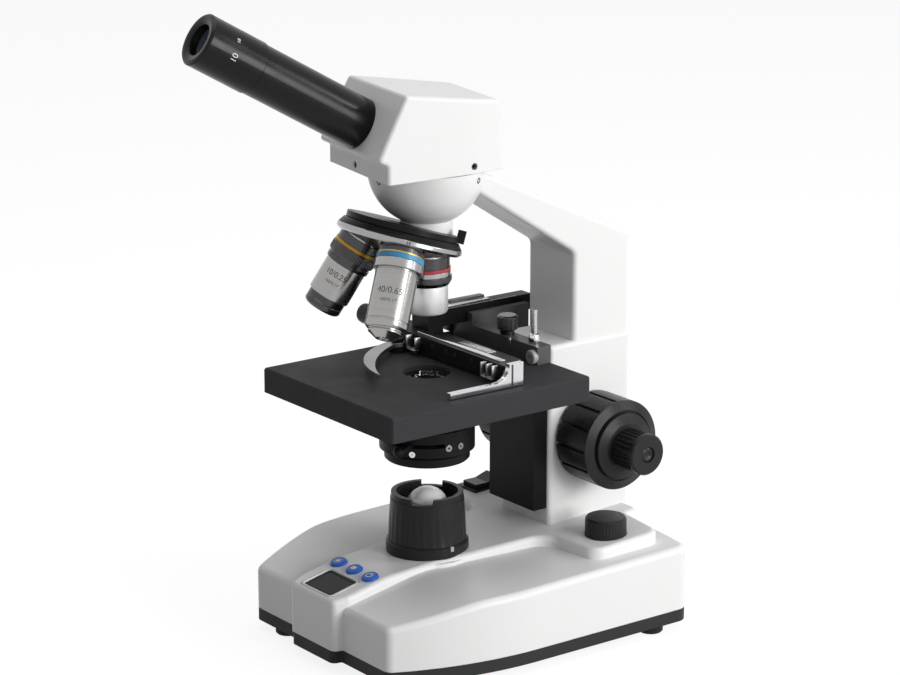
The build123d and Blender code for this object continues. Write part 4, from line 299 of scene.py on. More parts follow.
TURRET_BLACK = finish("turret_black", (0.010, 0.010, 0.011), 0.34, tone=0.12, depth=0.003, axis=TURRET,
                      fineness=5000.0, wear_and_glint=0.25, wear_and_glint_colour=(0.12, 0.12, 0.12), Specular_IOR_Level=0.1)
GLASS = finish("clear_glass", (0.93, 0.96, 0.97), 0.04, tone=0.01, spread=0.02, depth=0.0, round_by=0.1,
               Transmission_Weight=1.0, IOR=1.5)
EYE_GLASS = finish("eye_glass", (0.10, 0.12, 0.18), 0.06, tone=0.05, spread=0.03, depth=0.0, round_by=0.1,
                   Coat_Weight=1.0)
LAMP_LENS = finish("lamp_lens", (0.94, 0.94, 0.92), 0.06, tone=0.05, spread=0.03, depth=0.004, mottle=90.0,
                   Transmission_Weight=0.1, IOR=1.7)

NODE_FINISH = {
    WHITE_PAINT: ["base_housing", "arm", "head_housing"],
    BLACK_PAINT: ["stage_bracket", "slide_holder", "y_carriage", "condenser_holder",
                  "condenser_body", "iris_lever", "filter_holder", "focus_slide", "y_rail"],
    TRAY_BLACK: ["base_plate"],
    STAGE_ENAMEL: ["stage_plate"],
    CLAMP_GREY: ["stage_clamp_bar"],
    TUBE_BLACK: ["eyepiece_tube", "eyepiece"],
    TURRET_BLACK: ["nosepiece_mount", "turret_ring"],
    LAMP_BLACK: ["lamp_housing"],
    KNOB_PLASTIC: ["brightness_knob", "dimmer_pot", "switch_body", "power_rocker", "power_inlet", "coarse_knob_left",
                   "coarse_knob_right", "fine_knob_left", "fine_knob_right", "x_knob", "y_knob"],
    GUNMETAL: ["clamp_thumbscrew"],
    FOOT_RUBBER: ["rubber_feet"],
    STEEL: ["base_plate_screws", "arm_bolts", "stage_screws", "focus_guide", "coarse_shaft", "fine_shaft",
            "condenser_screw"],
    DARK_STEEL: ["head_screws"],
    BRASS: ["focus_rack", "focus_bushes"],
    SPRING_STEEL: ["slide_finger"],
    CHROME: ["slide_stop", "objective_4x", "objective_10x", "objective_40x"],
    TURRET_METAL: ["turret_cone"],
    DISPLAY: ["display_window"],
    BOARD: ["control_board"],
    BUTTON_BLUE: ["button_left", "button_middle", "button_right"],
    LAMP_METAL: ["lamp_led"],
    LAMP_LENS: ["field_lens"],
    EYE_GLASS: ["eyepiece_lens"],
    GLASS: ["condenser_lens", "objective_lenses", "head_prism"],
}
for material, nodes in NODE_FINISH.items():
    for node in nodes:
        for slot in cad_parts[node].material_slots:
            slot.material = material


# Meshes
def new_piece(name, mesh, material, body, replaced=()):
    """Mesh as a finished piece that rides on a body."""
    piece = bpy.data.objects.new(name, mesh)
    bpy.context.scene.collection.objects.link(piece)
    if material is not None:
        mesh.materials.clear()
        mesh.materials.append(material)
    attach(piece, body)
    if replaced:
        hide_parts(*replaced)
    return piece


def smooth(mesh, angle=30):
    """Smooth shading with edges kept sharp above an angle."""
    mesh.shade_smooth()
    mesh.set_sharp_from_angle(angle=math.radians(angle))


def finished(build, name, matrix=UPRIGHT):
    """Mesh from an edit mesh, smooth between its edges and set in its place."""
    mesh = bpy.data.meshes.new(name)
    build.to_mesh(mesh)
    build.free()
    smooth(mesh)
    mesh.transform(matrix)
    return mesh


def evaluated(holder):
    """Plain mesh of an object as its modifiers or its text leave it."""
    graph = bpy.context.evaluated_depsgraph_get()
    return bpy.data.meshes.new_from_object(holder.evaluated_get(graph), depsgraph=graph)


def lathe(profile, matrix, steps=72, flutes=0):
    """Closed profile turned about the z axis of a place; a row is (radius, height, flute depth if any)."""
    build = bmesh.new()
    rings = []
    for radius, height, *depth in profile:
        ring = []
        for i in range(steps if radius > 0 else 1):
            angle = 2 * math.pi * i / steps
            reach = (radius - (sum(depth) * (0.5 + 0.5 * math.cos(flutes * angle)) ** 2)) * MM
            ring.append(build.verts.new((reach * math.cos(angle), reach * math.sin(angle), height * MM)))
        rings.append(ring)
    for ring, after in zip(rings, rings[1:] + rings[:1]):
        for i in range(steps):
            corners = [ring[i % len(ring)], ring[(i + 1) % len(ring)],
                       after[(i + 1) % len(after)], after[i % len(after)]]
            corners = list(dict.fromkeys(corners))
            if len(corners) > 2:
                build.faces.new(corners)
    bmesh.ops.recalc_face_normals(build, faces=build.faces)
    return finished(build, "turned", matrix)


def slab(outline, low, high, matrix, chamfer=0.15):
    """Flat outline raised between two heights, with softened edges."""
    build = bmesh.new()
    face = build.faces.new([build.verts.new((x * MM, y * MM, low * MM)) for x, y in outline])
    top = bmesh.ops.extrude_face_region(build, geom=[face])["geom"]
    raised = [v for v in top if isinstance(v, bmesh.types.BMVert)]
    bmesh.ops.translate(build, vec=(0, 0, (high - low) * MM), verts=raised)
    bmesh.ops.recalc_face_normals(build, faces=build.faces)
    if chamfer:
        rim = [e for e in build.edges if abs(e.calc_face_angle(0)) > math.radians(40)]
        bmesh.ops.bevel(build, geom=rim, offset=chamfer * MM, segments=2, profile=0.5, affect="EDGES")
    return finished(build, "slab", matrix)


def rectangle(x0, x1, y0, y1, radius=0.0, steps=5):
    """Outline of a rectangle, its corners rounded if a radius is given."""
    corners = [(x1, y1, 0), (x0, y1, 90), (x0, y0, 180), (x1, y0, 270)]
    if not radius:
        return [(x, y) for x, y, _ in corners]
    points = []
    for x, y, start in corners:
        cx = x - radius if x == x1 else x + radius
        cy = y - radius if y == y1 else y + radius
        for i in range(steps + 1):
            angle = math.radians(start + 90 * i / steps)
            points.append((cx + radius * math.cos(angle), cy + radius * math.sin(angle)))
    return points


def circle(radius, steps=28):
    """Outline of a disc."""
    angles = [2 * math.pi * i / steps for i in range(steps)]
    return [(radius * math.cos(angle), radius * math.sin(angle)) for angle in angles]


def frame_slab(outer, inner, low, high, matrix):
    """Flat frame between two outlines with the same number of points."""
    build = bmesh.new()
    loops = [[build.verts.new((x * MM, y * MM, z * MM)) for x, y in outline]
             for outline, z in ((outer, low), (outer, high), (inner, high), (inner, low))]
    for a, b in zip(loops, loops[1:] + loops[:1]):
        for i in range(len(a)):
            j = (i + 1) % len(a)
            build.faces.new((a[i], a[j], b[j], b[i]))
    bmesh.ops.recalc_face_normals(build, faces=build.faces)
    return finished(build, "frame", matrix)


def joined(meshes):
    """One mesh from several."""
    build = bmesh.new()
    for mesh in meshes:
        build.from_mesh(mesh)
    return finished(build, "joined")


# Repeats made by geometry nodes
def end_tree(tree, given, out, geometry):
    """Close a tree with realized instances and the material."""
    real = add(tree, "GeometryNodeRealizeInstances", {"Geometry": geometry})
    painted = add(tree, "GeometryNodeSetMaterial", {"Geometry": real.outputs[0], "Material": given["Material"]})
    tree.links.new(painted.outputs[0], out["Geometry"])
    return tree


def rib_tree():
    """Half-round ribs round the z axis."""
    tree, given, out = new_tree("GeometryNodeTree", "Ribs Round An Axis", [
        ("Count", "Int", 24), ("Radius", "Float", 0.01), ("Length", "Float", 0.01), ("Width", "Float", 0.001),
        ("Height", "Float", 0.001), ("Material", "Material"),
    ], [("Geometry", "Geometry")])
    circle = add(tree, "GeometryNodeMeshCircle", {"Vertices": given["Count"], "Radius": given["Radius"]})
    rib = add(tree, "GeometryNodeMeshCylinder", {"Vertices": 8, "Radius": 0.5, "Depth": 1.0})
    spot = add(tree, "GeometryNodeInputPosition")
    turn = add(tree, "FunctionNodeAlignRotationToVector", {"Vector": spot.outputs[0]}, axis="X", pivot_axis="Z")
    size = add(tree, "ShaderNodeCombineXYZ", {
        0: math_node(tree, "MULTIPLY", given["Height"], 2.0), 1: given["Width"], 2: given["Length"]})
    ribs = add(tree, "GeometryNodeInstanceOnPoints", {
        "Points": circle.outputs[0], "Instance": rib.outputs["Mesh"], "Rotation": turn.outputs[0],
        "Scale": size.outputs[0]})
    return end_tree(tree, given, out, ribs.outputs[0])


def scale_tree():
    """Graduations along x, every fifth one longer."""
    tree, given, out = new_tree("GeometryNodeTree", "Graduations", [
        ("Count", "Int", 20), ("Pitch", "Float", 0.001), ("Short", "Float", 0.001), ("Long", "Float", 0.002),
        ("Width", "Float", 0.0002), ("Proud", "Float", 0.00005), ("Material", "Material"),
    ], [("Geometry", "Geometry")])
    step = add(tree, "ShaderNodeCombineXYZ", {0: given["Pitch"]})
    line = add(tree, "GeometryNodeMeshLine", {"Count": given["Count"], "Offset": step.outputs[0]})
    index = add(tree, "GeometryNodeInputIndex").outputs[0]
    fifth = math_node(tree, "LESS_THAN", math_node(tree, "MODULO", index, 5.0), 0.5)
    extra = math_node(tree, "MULTIPLY", fifth, math_node(tree, "SUBTRACT", given["Long"], given["Short"]))
    size = add(tree, "ShaderNodeCombineXYZ", {
        0: given["Width"], 1: math_node(tree, "ADD", given["Short"], extra), 2: given["Proud"]})
    bar = add(tree, "GeometryNodeMeshCube", {"Size": (1.0, 1.0, 1.0)})
    lifted = add(tree, "GeometryNodeTransform", {"Geometry": bar.outputs[0], "Translation": (0.0, 0.5, 0.5)})
    marks = add(tree, "GeometryNodeInstanceOnPoints", {
        "Points": line.outputs[0], "Instance": lifted.outputs[0], "Scale": size.outputs[0]})
    return end_tree(tree, given, out, marks.outputs[0])


def screw_tree():
    """Screw heads with six-sided sockets at points, each along its stored facing."""
    tree, given, out = new_tree("GeometryNodeTree", "Socket Screws", [
        ("Geometry", "Geometry"), ("Head Radius", "Float", 0.002), ("Head Height", "Float", 0.002),
        ("Socket Radius", "Float", 0.001), ("Socket Depth", "Float", 0.001), ("Material", "Material"),
    ], [("Geometry", "Geometry")])
    head = add(tree, "GeometryNodeMeshCylinder", {
        "Vertices": 24, "Radius": given["Head Radius"], "Depth": given["Head Height"]})
    socket = add(tree, "GeometryNodeMeshCylinder", {
        "Vertices": 6, "Radius": given["Socket Radius"],
        "Depth": math_node(tree, "MULTIPLY", given["Socket Depth"], 2.0)})
    top = add(tree, "ShaderNodeCombineXYZ", {2: math_node(tree, "MULTIPLY", given["Head Height"], 0.5)})
    raised = add(tree, "GeometryNodeTransform", {"Geometry": socket.outputs["Mesh"], "Translation": top.outputs[0]})
    cut = add(tree, "GeometryNodeMeshBoolean", {"Mesh 1": head.outputs["Mesh"], "Mesh 2": raised.outputs[0]},
              operation="DIFFERENCE")
    down = add(tree, "ShaderNodeCombineXYZ", {2: math_node(tree, "MULTIPLY", given["Head Height"], -0.5)})
    sunk = add(tree, "GeometryNodeTransform", {"Geometry": cut.outputs[0], "Translation": down.outputs[0]})
    facing = add(tree, "GeometryNodeInputNamedAttribute", {"Name": "facing"}, data_type="FLOAT_VECTOR")
    turn = add(tree, "FunctionNodeAlignRotationToVector", {"Vector": facing.outputs[0]}, axis="Z")
    screws = add(tree, "GeometryNodeInstanceOnPoints", {
        "Points": given["Geometry"], "Instance": sunk.outputs[0], "Rotation": turn.outputs[0]})
    return end_tree(tree, given, out, screws.outputs[0])


RIBS, SCALE, SCREWS = rib_tree(), scale_tree(), screw_tree()


def grow(tree, values, material, matrix, points=()):
    """Plain mesh from a geometry tree; points are (place, facing) in millimetres."""
    base = bpy.data.meshes.new("seed")
    base.from_pydata([Vector(place) * MM for place, _ in points], [], [])
    if points:
        facing = base.attributes.new("facing", "FLOAT_VECTOR", "POINT")
        for i, (_, way) in enumerate(points):
            facing.data[i].vector = way
    holder = bpy.data.objects.new("seed", base)
    bpy.context.scene.collection.objects.link(holder)
    modifier = holder.modifiers.new("repeat", "NODES")
    modifier.node_group = tree
    names = {item.name: item.identifier for item in tree.interface.items_tree if item.in_out == "INPUT"}
    for label, value in values.items():
        modifier[names[label]] = value
    modifier[names["Material"]] = material
    mesh = evaluated(holder)
    holder.modifiers.remove(modifier)
    bpy.data.objects.remove(holder)
    smooth(mesh)
    mesh.transform(matrix)
    return mesh


def ribs(count, radius, low, high, width, height, material, matrix):
    """Ribs between two heights on a turned piece."""
    middle = matrix @ Matrix.Translation((0, 0, (low + high) / 2 * MM))
    return grow(RIBS, {"Count": count, "Radius": radius * MM, "Length": (high - low) * MM, "Width": width * MM,
                       "Height": height * MM}, material, middle)


def graduations(count, pitch, short, long, width, material, matrix):
    """Thin raised marks along the x axis of a place."""
    return grow(SCALE, {"Count": count, "Pitch": pitch * MM, "Short": short * MM, "Long": long * MM,
                        "Width": width * MM, "Proud": MARK_PROUD * MM}, material, matrix)


def screws(points, radius, height, socket, material):
    """Socket screws whose tops are at the points."""
    return grow(SCREWS, {"Head Radius": radius * MM, "Head Height": height * MM, "Socket Radius": socket * MM,
                         "Socket Depth": 0.6 * height * MM}, material, UPRIGHT, points)


def number(text, size, radius, height, angle, matrix):
    """Plain number wrapped round a turned piece, upright along its axis."""
    curve = bpy.data.curves.new("number", "FONT")
    curve.body = text
    curve.size = size * MM
    curve.align_x = "CENTER"
    curve.align_y = "CENTER"
    curve.extrude = NUMBER_PROUD * MM
    holder = bpy.data.objects.new("number", curve)
    bpy.context.scene.collection.objects.link(holder)
    mesh = evaluated(holder)
    bpy.data.objects.remove(holder)
    for vertex in mesh.vertices:
        x, y, z = vertex.co
        turn = angle + x / (radius * MM)
        reach = radius * MM + z
        vertex.co = (reach * math.cos(turn), reach * math.sin(turn), height * MM + y)
    mesh.transform(matrix)
    return mesh


def camera_angle(matrix):
    """Angle about a piece's axis that faces the camera."""
    view = matrix.to_3x3().inverted() @ Vector(CAMERA_PLACE)
    return math.atan2(view.y, view.x)


# Objectives
def turret_part(name, profile, seat, material, replaced=()):
    """Turned piece that rides on the turret."""
    new_piece(name, lathe(profile, seat), material, "turret", replaced)


def objective_40x():
    """Bright long objective with a blue band."""
    chrome = CHROME_TURNED["40x"]
    body = [(3.0, 3.0), (10.1, 3.0), (10.1, -6.0), (11.8, -6.0), (12.1, -6.3), (12.1, -10.2), (11.8, -10.5),
            (10.2, -10.6), (10.2, -11.5), (10.6, -11.6), (10.6, -12.4), (10.4, -12.5), (10.5, -12.6), (10.5, -35.6),
            (10.2, -35.7), (10.2, -36.2), (10.5, -36.3), (10.5, -38.7), (9.3, -39.8), (8.5, -39.9), (8.5, -40.5),
            (8.0, -40.6), (8.0, -40.9), (8.3, -41.0), (8.3, -41.5), (4.4, -44.2), (4.2, -44.4), (3.0, -44.4)]
    turret_part("objective_40x_barrel", body, SEAT_40X, chrome, ["objective_40x"])
    neck = [(9.8, 0.0), (11.2, 0.0), (11.3, -0.1), (11.3, -2.6), (9.8, -2.6)]
    turret_part("objective_40x_neck", neck, SEAT_40X, GUNMETAL)
    thread = [(9.8, -2.6), (11.5, -2.6), (11.6, -2.7), (11.6, -3.4), (9.8, -3.4)]
    turret_part("objective_40x_ring", thread, SEAT_40X, BRASS)
    band = [(9.8, -3.4), (11.7, -3.4), (11.8, -3.5), (11.8, -5.9), (11.7, -6.0), (9.8, -6.0)]
    turret_part("objective_40x_band", band, SEAT_40X, BAND_BLUE)
    face = camera_angle(SEAT_40X)
    marks = [number("40/0.65", 4.4, 10.5, -22.5, face - 0.15, SEAT_40X),
             number("160/0.17", 2.4, 10.5, -27.3, face - 0.15, SEAT_40X)]
    new_piece("objective_40x_numbers", joined(marks), MARK_DARK, "turret")


def objective_10x():
    """Middle objective with a gold band, a dark grip and a dark end."""
    chrome = CHROME_TURNED["10x"]
    body = [(7.6, 3.0), (10.1, 3.0), (10.1, -15.0), (10.5, -15.1), (10.5, -32.6), (10.2, -32.9), (7.6, -32.9)]
    turret_part("objective_10x_barrel", body, SEAT_10X, chrome, ["objective_10x"])
    grip = [(9.8, -6.0), (11.7, -6.0), (11.9, -6.2), (11.9, -11.2), (11.7, -11.4), (10.9, -11.5), (10.9, -12.7),
            (11.3, -12.8), (11.3, -14.5), (11.1, -15.0), (9.8, -15.0)]
    turret_part("objective_10x_grip", grip, SEAT_10X, GUNMETAL)
    knurl = ribs(64, 11.85, -10.6, -6.8, 0.75, 0.25, GUNMETAL, SEAT_10X)
    new_piece("objective_10x_knurl", knurl, None, "turret")
    neck = [(9.8, 0.0), (11.2, 0.0), (11.3, -0.1), (11.3, -4.2), (9.8, -4.2)]
    turret_part("objective_10x_neck", neck, SEAT_10X, GUNMETAL)
    band = [(9.8, -4.2), (11.6, -4.2), (11.7, -4.3), (11.7, -5.9), (11.6, -6.0), (9.8, -6.0)]
    turret_part("objective_10x_band", band, SEAT_10X, BAND_GOLD)
    tip = [(7.6, -32.9), (9.5, -32.9), (9.6, -33.0), (9.6, -36.0), (9.4, -36.1), (9.4, -36.4), (9.6, -36.5),
           (9.6, -38.9), (9.0, -39.7), (8.6, -40.0), (7.6, -40.0)]
    turret_part("objective_10x_tip", tip, SEAT_10X, GUNMETAL)
    face = camera_angle(SEAT_10X)
    marks = [number("10/0.25", 4.0, 10.5, -20.5, face - 0.1, SEAT_10X),
             number("160/0.17", 2.2, 10.5, -25.0, face - 0.1, SEAT_10X)]
    new_piece("objective_10x_numbers", joined(marks), MARK_DARK, "turret")


def objective_4x():
    """Short silver objective with a red band."""
    body = [(8.4, 3.0), (10.1, 3.0), (10.1, -14.6), (10.6, -14.7), (10.6, -27.6), (10.0, -28.7), (9.6, -28.9),
            (8.4, -28.9)]
    turret_part("objective_4x_barrel", body, SEAT_4X, SILVER, ["objective_4x"])
    neck = [(9.8, 0.0), (11.4, 0.0), (11.5, -0.1), (11.5, -5.6), (9.8, -5.6)]
    turret_part("objective_4x_neck", neck, SEAT_4X, GUNMETAL)
    band = [(9.8, -5.6), (11.8, -5.6), (11.9, -5.7), (11.9, -7.3), (11.8, -7.4), (9.8, -7.4)]
    turret_part("objective_4x_band", band, SEAT_4X, BAND_RED)
    ring = [(9.8, -7.4), (11.9, -7.4), (12.0, -7.5), (12.0, -9.7), (11.9, -9.8), (9.8, -9.8)]
    turret_part("objective_4x_ring", ring, SEAT_4X, CHROME_TURNED["4x"])
    grip = [(9.8, -9.8), (12.1, -9.8), (12.3, -10.0), (12.3, -12.6), (11.0, -14.6), (9.8, -14.6)]
    turret_part("objective_4x_grip", grip, SEAT_4X, GUNMETAL)
    knurl = ribs(64, 12.25, -12.3, -10.2, 0.75, 0.2, GUNMETAL, SEAT_4X)
    new_piece("objective_4x_knurl", knurl, None, "turret")
    back = camera_angle(SEAT_4X) + 2.4
    marks = [number("4/0.10", 4.0, 10.6, -18.5, back, SEAT_4X),
             number("160/0.17", 2.2, 10.6, -23.0, back, SEAT_4X)]
    new_piece("objective_4x_numbers", joined(marks), MARK_DARK, "turret")


def nosepiece():
    """Bright skirt, black grip ring and index lines of the nosepiece."""
    grip = [(20.0, 9.4), (28.5, 9.4), (28.9, 9.2, 0.1), (30.7, 6.7, 0.2), (30.8, 6.4), (20.0, 6.4)]
    new_piece("turret_grip", lathe(grip, TURRET, 480, 120), TURRET_BLACK, "turret", ["turret_ring"])
    skirt = [(20.0, 6.4), (31.0, 6.4), (31.3, 6.1), (31.4, 4.4), (31.2, 4.1), (29.6, 2.9), (29.1, 2.9), (29.1, 3.4),
             (20.0, 3.4)]
    new_piece("turret_skirt", lathe(skirt, TURRET, 96), TURRET_METAL, "turret")
    turns = [TURRET @ Matrix.Rotation(math.radians(angle), 4, "Z") for angle in (-30.0, -28.0)]
    lines = [slab(rectangle(31.2, 31.5, -0.25, 0.25), 4.5, 6.0, turn, 0) for turn in turns]
    new_piece("turret_mark", joined(lines), MARK_DARK, "turret")


# Head and eyepiece
def head_details():
    """Socket screws of the head and the bowl, and the numbers and rim of the eyepiece."""
    height = HEAD_SEAT_Z + GRUB_RISE
    places = [((-3.0, -36.7, height), (0, -1, 0)), ((27.4, 11.5, height), (1, 0, 0))]
    turned = [(HEAD_SPIN @ Vector(place), HEAD_SPIN @ Vector(way)) for place, way in places]
    new_piece("grub_screws", screws(turned, 1.65, 3.0, 0.9, DARK_STEEL), None, "head", ["head_screws"])
    around = [math.radians(angle) for angle in (-90, 25, 150)]
    ways = [Vector((math.cos(angle), math.sin(angle), -0.16)).normalized() for angle in around]
    bowl = [((BOWL_SCREW_R * math.cos(angle), BOWL_SCREW_R * math.sin(angle), BOWL_SCREW_Z), way)
            for angle, way in zip(around, ways)]
    new_piece("bowl_screws", screws(bowl, 1.5, 2.5, 0.85, DARK_STEEL), None, "stand")
    face = camera_angle(TUBE)
    marks = [number("10", 4.4, EYEPIECE_R, TUBE_OUT + 16.5, face - 0.15, TUBE),
             number("18", 2.6, EYEPIECE_R, TUBE_OUT + 17.0, face + 0.5, TUBE)]
    new_piece("eyepiece_numbers", joined(marks), MARK_PALE, "ocular")
    rim = [(7.6, 29.2), (7.9, 30.6), (9.2, 31.5), (11.6, 31.7), (12.0, 31.3), (11.6, 31.1), (9.4, 31.0), (9.4, 29.2)]
    rim = [(radius, TUBE_OUT + height) for radius, height in rim]
    new_piece("eye_rim", lathe(rim, TUBE), TUBE_BLACK, "ocular")


# Focus knobs
def focus_knobs():
    """Flutes and cap studs on the fine knobs."""
    for side, matrix in (("right", AXLE_RIGHT), ("left", AXLE_LEFT)):
        flutes = ribs(26, 9.55, 50.4, 62.0, 1.3, 0.75, KNOB_PLASTIC, matrix)
        new_piece(f"fine_flutes_{side}", flutes, None, "fine_drive")
        stud = [(0.0, 64.9), (1.2, 65.1), (1.9, 65.5), (2.6, 65.8), (3.3, 65.6), (3.9, 65.1), (3.9, 64.7),
                (0.0, 64.7)]
        new_piece(f"fine_cap_{side}", lathe(stud, matrix, 48), KNOB_PLASTIC, "fine_drive")


# Base controls
def panel_place(node):
    """Middle of the top of a control on the panel, with its axes."""
    low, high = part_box(node)
    middle = (Vector(low) + Vector(high)) / 2
    top = max((Vector(v.co) - middle).dot(PANEL_UP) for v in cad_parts[node].data.vertices)
    return stand_at((middle + PANEL_UP * top) / MM, PANEL_UP, (1, 0, 0))


def base_controls():
    """Plain signs on the buttons, the display's border and rim, and the facets of the brightness knob."""
    left, middle, right = (panel_place(f"button_{side}") for side in ("left", "middle", "right"))
    turns = [left @ Matrix.Rotation(math.radians(45 * i), 4, "Z") for i in range(8)]
    ray = [(1.5, -0.14), (2.2, -0.14), (2.2, 0.14), (1.5, 0.14)]
    rays = [slab(ray, SIGN_LOW, SIGN_HIGH, turn, 0) for turn in turns]
    sun = joined([slab(circle(1.1), SIGN_LOW, SIGN_HIGH, left, 0)] + rays)
    new_piece("button_mark_left", sun, MARK_PALE, "button_left_body")
    square = slab(rectangle(-1.5, 1.5, -1.3, 1.3, 0.5), SIGN_LOW, SIGN_HIGH, middle, 0)
    new_piece("button_mark_middle", square, MARK_PALE, "button_middle_body")
    ring = frame_slab(circle(2.0), circle(1.5), SIGN_LOW, SIGN_HIGH, right)
    bar = slab([(-0.2, 0.2), (0.2, 0.2), (0.2, 2.4), (-0.2, 2.4)], SIGN_LOW, SIGN_HIGH, right, 0)
    new_piece("button_mark_right", joined([ring, bar]), MARK_PALE, "button_right_body")
    window = panel_place("display_window")
    border = frame_slab(rectangle(-11.9, 11.9, -8.4, 8.4, 1.9), rectangle(-10.2, 10.2, -6.7, 6.7, 0.8),
                        -0.1, 0.05, window)
    new_piece("display_border", border, BLACK_PAINT, "stand")
    rim = frame_slab(rectangle(-13.0, 13.0, -9.5, 9.5, 3.0), rectangle(-12.1, 12.1, -8.6, 8.6, 2.1),
                     -0.3, 0.75, window)
    new_piece("display_rim", rim, WHITE_PAINT, "stand")
    low_corner, high_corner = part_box("brightness_knob")
    centre = [(a + b) / 2 / MM for a, b in zip(low_corner, high_corner)]
    knob = stand_at((centre[0], centre[1], 0), (0, 0, 1), (1, 0, 0))
    top = high_corner[2] / MM
    facets = ribs(40, 10.45, top - 8.6, top - 1.0, 1.1, 0.12, KNOB_PLASTIC, knob)
    new_piece("brightness_facets", facets, None, "brightness_body")


def lamp_details():
    """Low flutes and the index mark of the lamp."""
    shell = [(19.2, 51.4), (19.75, 51.4), (19.7, 52.0, 0.22), (19.25, 62.5, 0.22), (18.95, 68.0, 0.12), (18.75, 70.5),
             (18.62, 73.0), (18.3, 73.0)]
    new_piece("lamp_flutes", lathe(shell, UPRIGHT, 240, 30), LAMP_BLACK, "stand")
    mark = Matrix.Rotation(math.radians(0.5), 4, "Z")
    index = slab(rectangle(19.9, 21.0, -1.0, 1.0), 49.0, 51.4, mark, 0.1)
    new_piece("lamp_index", index, GREY_PAINT, "stand")


# Slide mover
def mover_details():
    """Strips, scales, screws and clips of the slide mover."""
    strip = slab(rectangle(-33.0, 36.0, 18.2, 21.4), 147.75, 148.5, UPRIGHT, 0.2)
    new_piece("holder_strip", strip, CHROME, "holder")
    plate = slab(rectangle(-8.0, 17.0, 24.6, 30.6, 0.8), 146.45, 147.05, UPRIGHT, 0.12)
    new_piece("cross_scale", plate, STEEL, "cross_rail")
    ticks = graduations(21, 1.1, 1.5, 2.6, 0.16, MARK_DARK, stand_at((-6.5, 25.0, 147.05), (0, 0, 1), (1, 0, 0)))
    new_piece("cross_scale_marks", ticks, None, "cross_rail")
    places = [((x, 15.2, 144.6), (0, -1, 0)) for x in (-16.0, -4.5, 2.8, 16.5)]
    new_piece("holder_screws", screws(places, 1.1, 1.6, 0.6, DARK_STEEL), None, "holder")
    for name, left, right, bars in (("left", -33.5, -25.0, 2), ("right", 28.5, 38.5, 3)):
        edges = [left + (right - left - 1.1) * i / (bars - 1) for i in range(bars)]
        clip = [slab(rectangle(x, x + 1.1, 11.4, 15.4), 140.4, 147.4, UPRIGHT, 0.12) for x in edges]
        clip.append(slab(rectangle(left, right, 11.4, 12.2), 139.9, 141.0, UPRIGHT, 0.12))
        clip.append(slab(rectangle(left, right, 12.6, 15.4), 140.6, 141.2, UPRIGHT, 0.12))
        new_piece(f"holder_clip_{name}", joined(clip), STEEL, "holder")
    rail = graduations(46, 1.0, 1.2, 2.2, 0.16, MARK_PALE, stand_at((-34.1, 38.0, 156.5), (0, 0, 1), (0, 1, 0)))
    new_piece("front_rear_scale", rail, None, "cross_rail")
    bar = slab(rectangle(-41.9, -37.2, 34.5, 68.0), 156.45, 157.0, UPRIGHT, 0.15)
    new_piece("front_rear_strip", bar, STEEL, "cross_rail")
    rider = slab(rectangle(-45.6, -41.6, 46.0, 68.0, 0.6), 154.6, 158.0, UPRIGHT, 0.2)
    new_piece("front_rear_rider", rider, CLAMP_GREY, "cross_rail")


def condenser_stud(azimuth, height):
    """Place and facing of a screw in the side of the condenser."""
    way = Vector((math.cos(math.radians(azimuth)), math.sin(math.radians(azimuth)), 0))
    return way * (CONDENSER_R + STUD_PROUD) + Vector((0, 0, height)), way


def condenser_details():
    """Screws in the side of the condenser."""
    stud = screws([condenser_stud(-54, 101.9)], 1.6, 2.2, 0.3, CHROME)
    new_piece("condenser_stud", stud, None, "stage")
    holds = [condenser_stud(azimuth, 104.6) for azimuth in (-10, 7)]
    new_piece("condenser_screws", screws(holds, 1.7, 2.2, 0.6, SPRING_STEEL), None, "stage")


def clamp_details():
    """Painted shade of the stop's fold as a thin dark strip, and the screw, edge, pin and thumbscrew grip of the
    clamp.
    """
    # Painted shade: a thin dark metal strip stands in for the shaded fold line of the chrome stop.
    fold_shade = slab(rectangle(47.5, 47.75, 16.2, 17.2), 138.9, 149.4, UPRIGHT, 0)
    new_piece("stop_fold_shade", fold_shade, GUNMETAL, "holder")
    head = [(1.0, -0.4), (3.6, -0.4), (3.6, 1.9), (3.2, 2.4), (1.0, 2.4), (0.8, 1.6), (0.0, 1.6)]
    front = stand_at((20.8, 51.0, 141.6), (0, -1, 0), (1, 0, 0))
    new_piece("clamp_screw", lathe(head, front), GREY_PAINT, "stage")
    edge = slab(rectangle(1.2, 2.6, 50.4, 51.4), 141.5, 147.3, UPRIGHT, 0.15)
    new_piece("clamp_edge", edge, STEEL, "stage")
    foot = [(1.4, 147.0), (2.7, 147.0), (2.9, 148.0), (2.9, 150.4), (2.5, 151.6), (1.5, 152.2)]
    pin = Matrix.Translation(Vector((16.0, POST_Y, 0)) * MM)
    new_piece("pin_foot", lathe(foot, pin), CHROME, "stage")
    thumb = stand_at((-6.0, POST_Y, 0), (0, 0, 1), (1, 0, 0))
    knurl = ribs(36, 5.15, 150.0, 156.2, 0.7, 0.2, GUNMETAL, thumb)
    new_piece("thumb_knurl", knurl, None, "stage")


def mover_knobs():
    """Knurls of the slide mover's two knobs."""
    knobs = (("x_knob", "x_drive", (29.6, 142.75), 5.2, 11.0), ("y_knob", "y_drive", (POST_Y, 145.35), 7.0, 10.0))
    for node, body, axis_yz, radius, length in knobs:
        low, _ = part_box(node)
        place = stand_at((low[0] / MM, *axis_yz), (1, 0, 0), (0, 1, 0))
        knurl = ribs(36, radius - 0.05, 1.2, length - 1.2, 0.85, 0.25, KNOB_PLASTIC, place)
        new_piece(f"{node}_knurl", knurl, None, body)


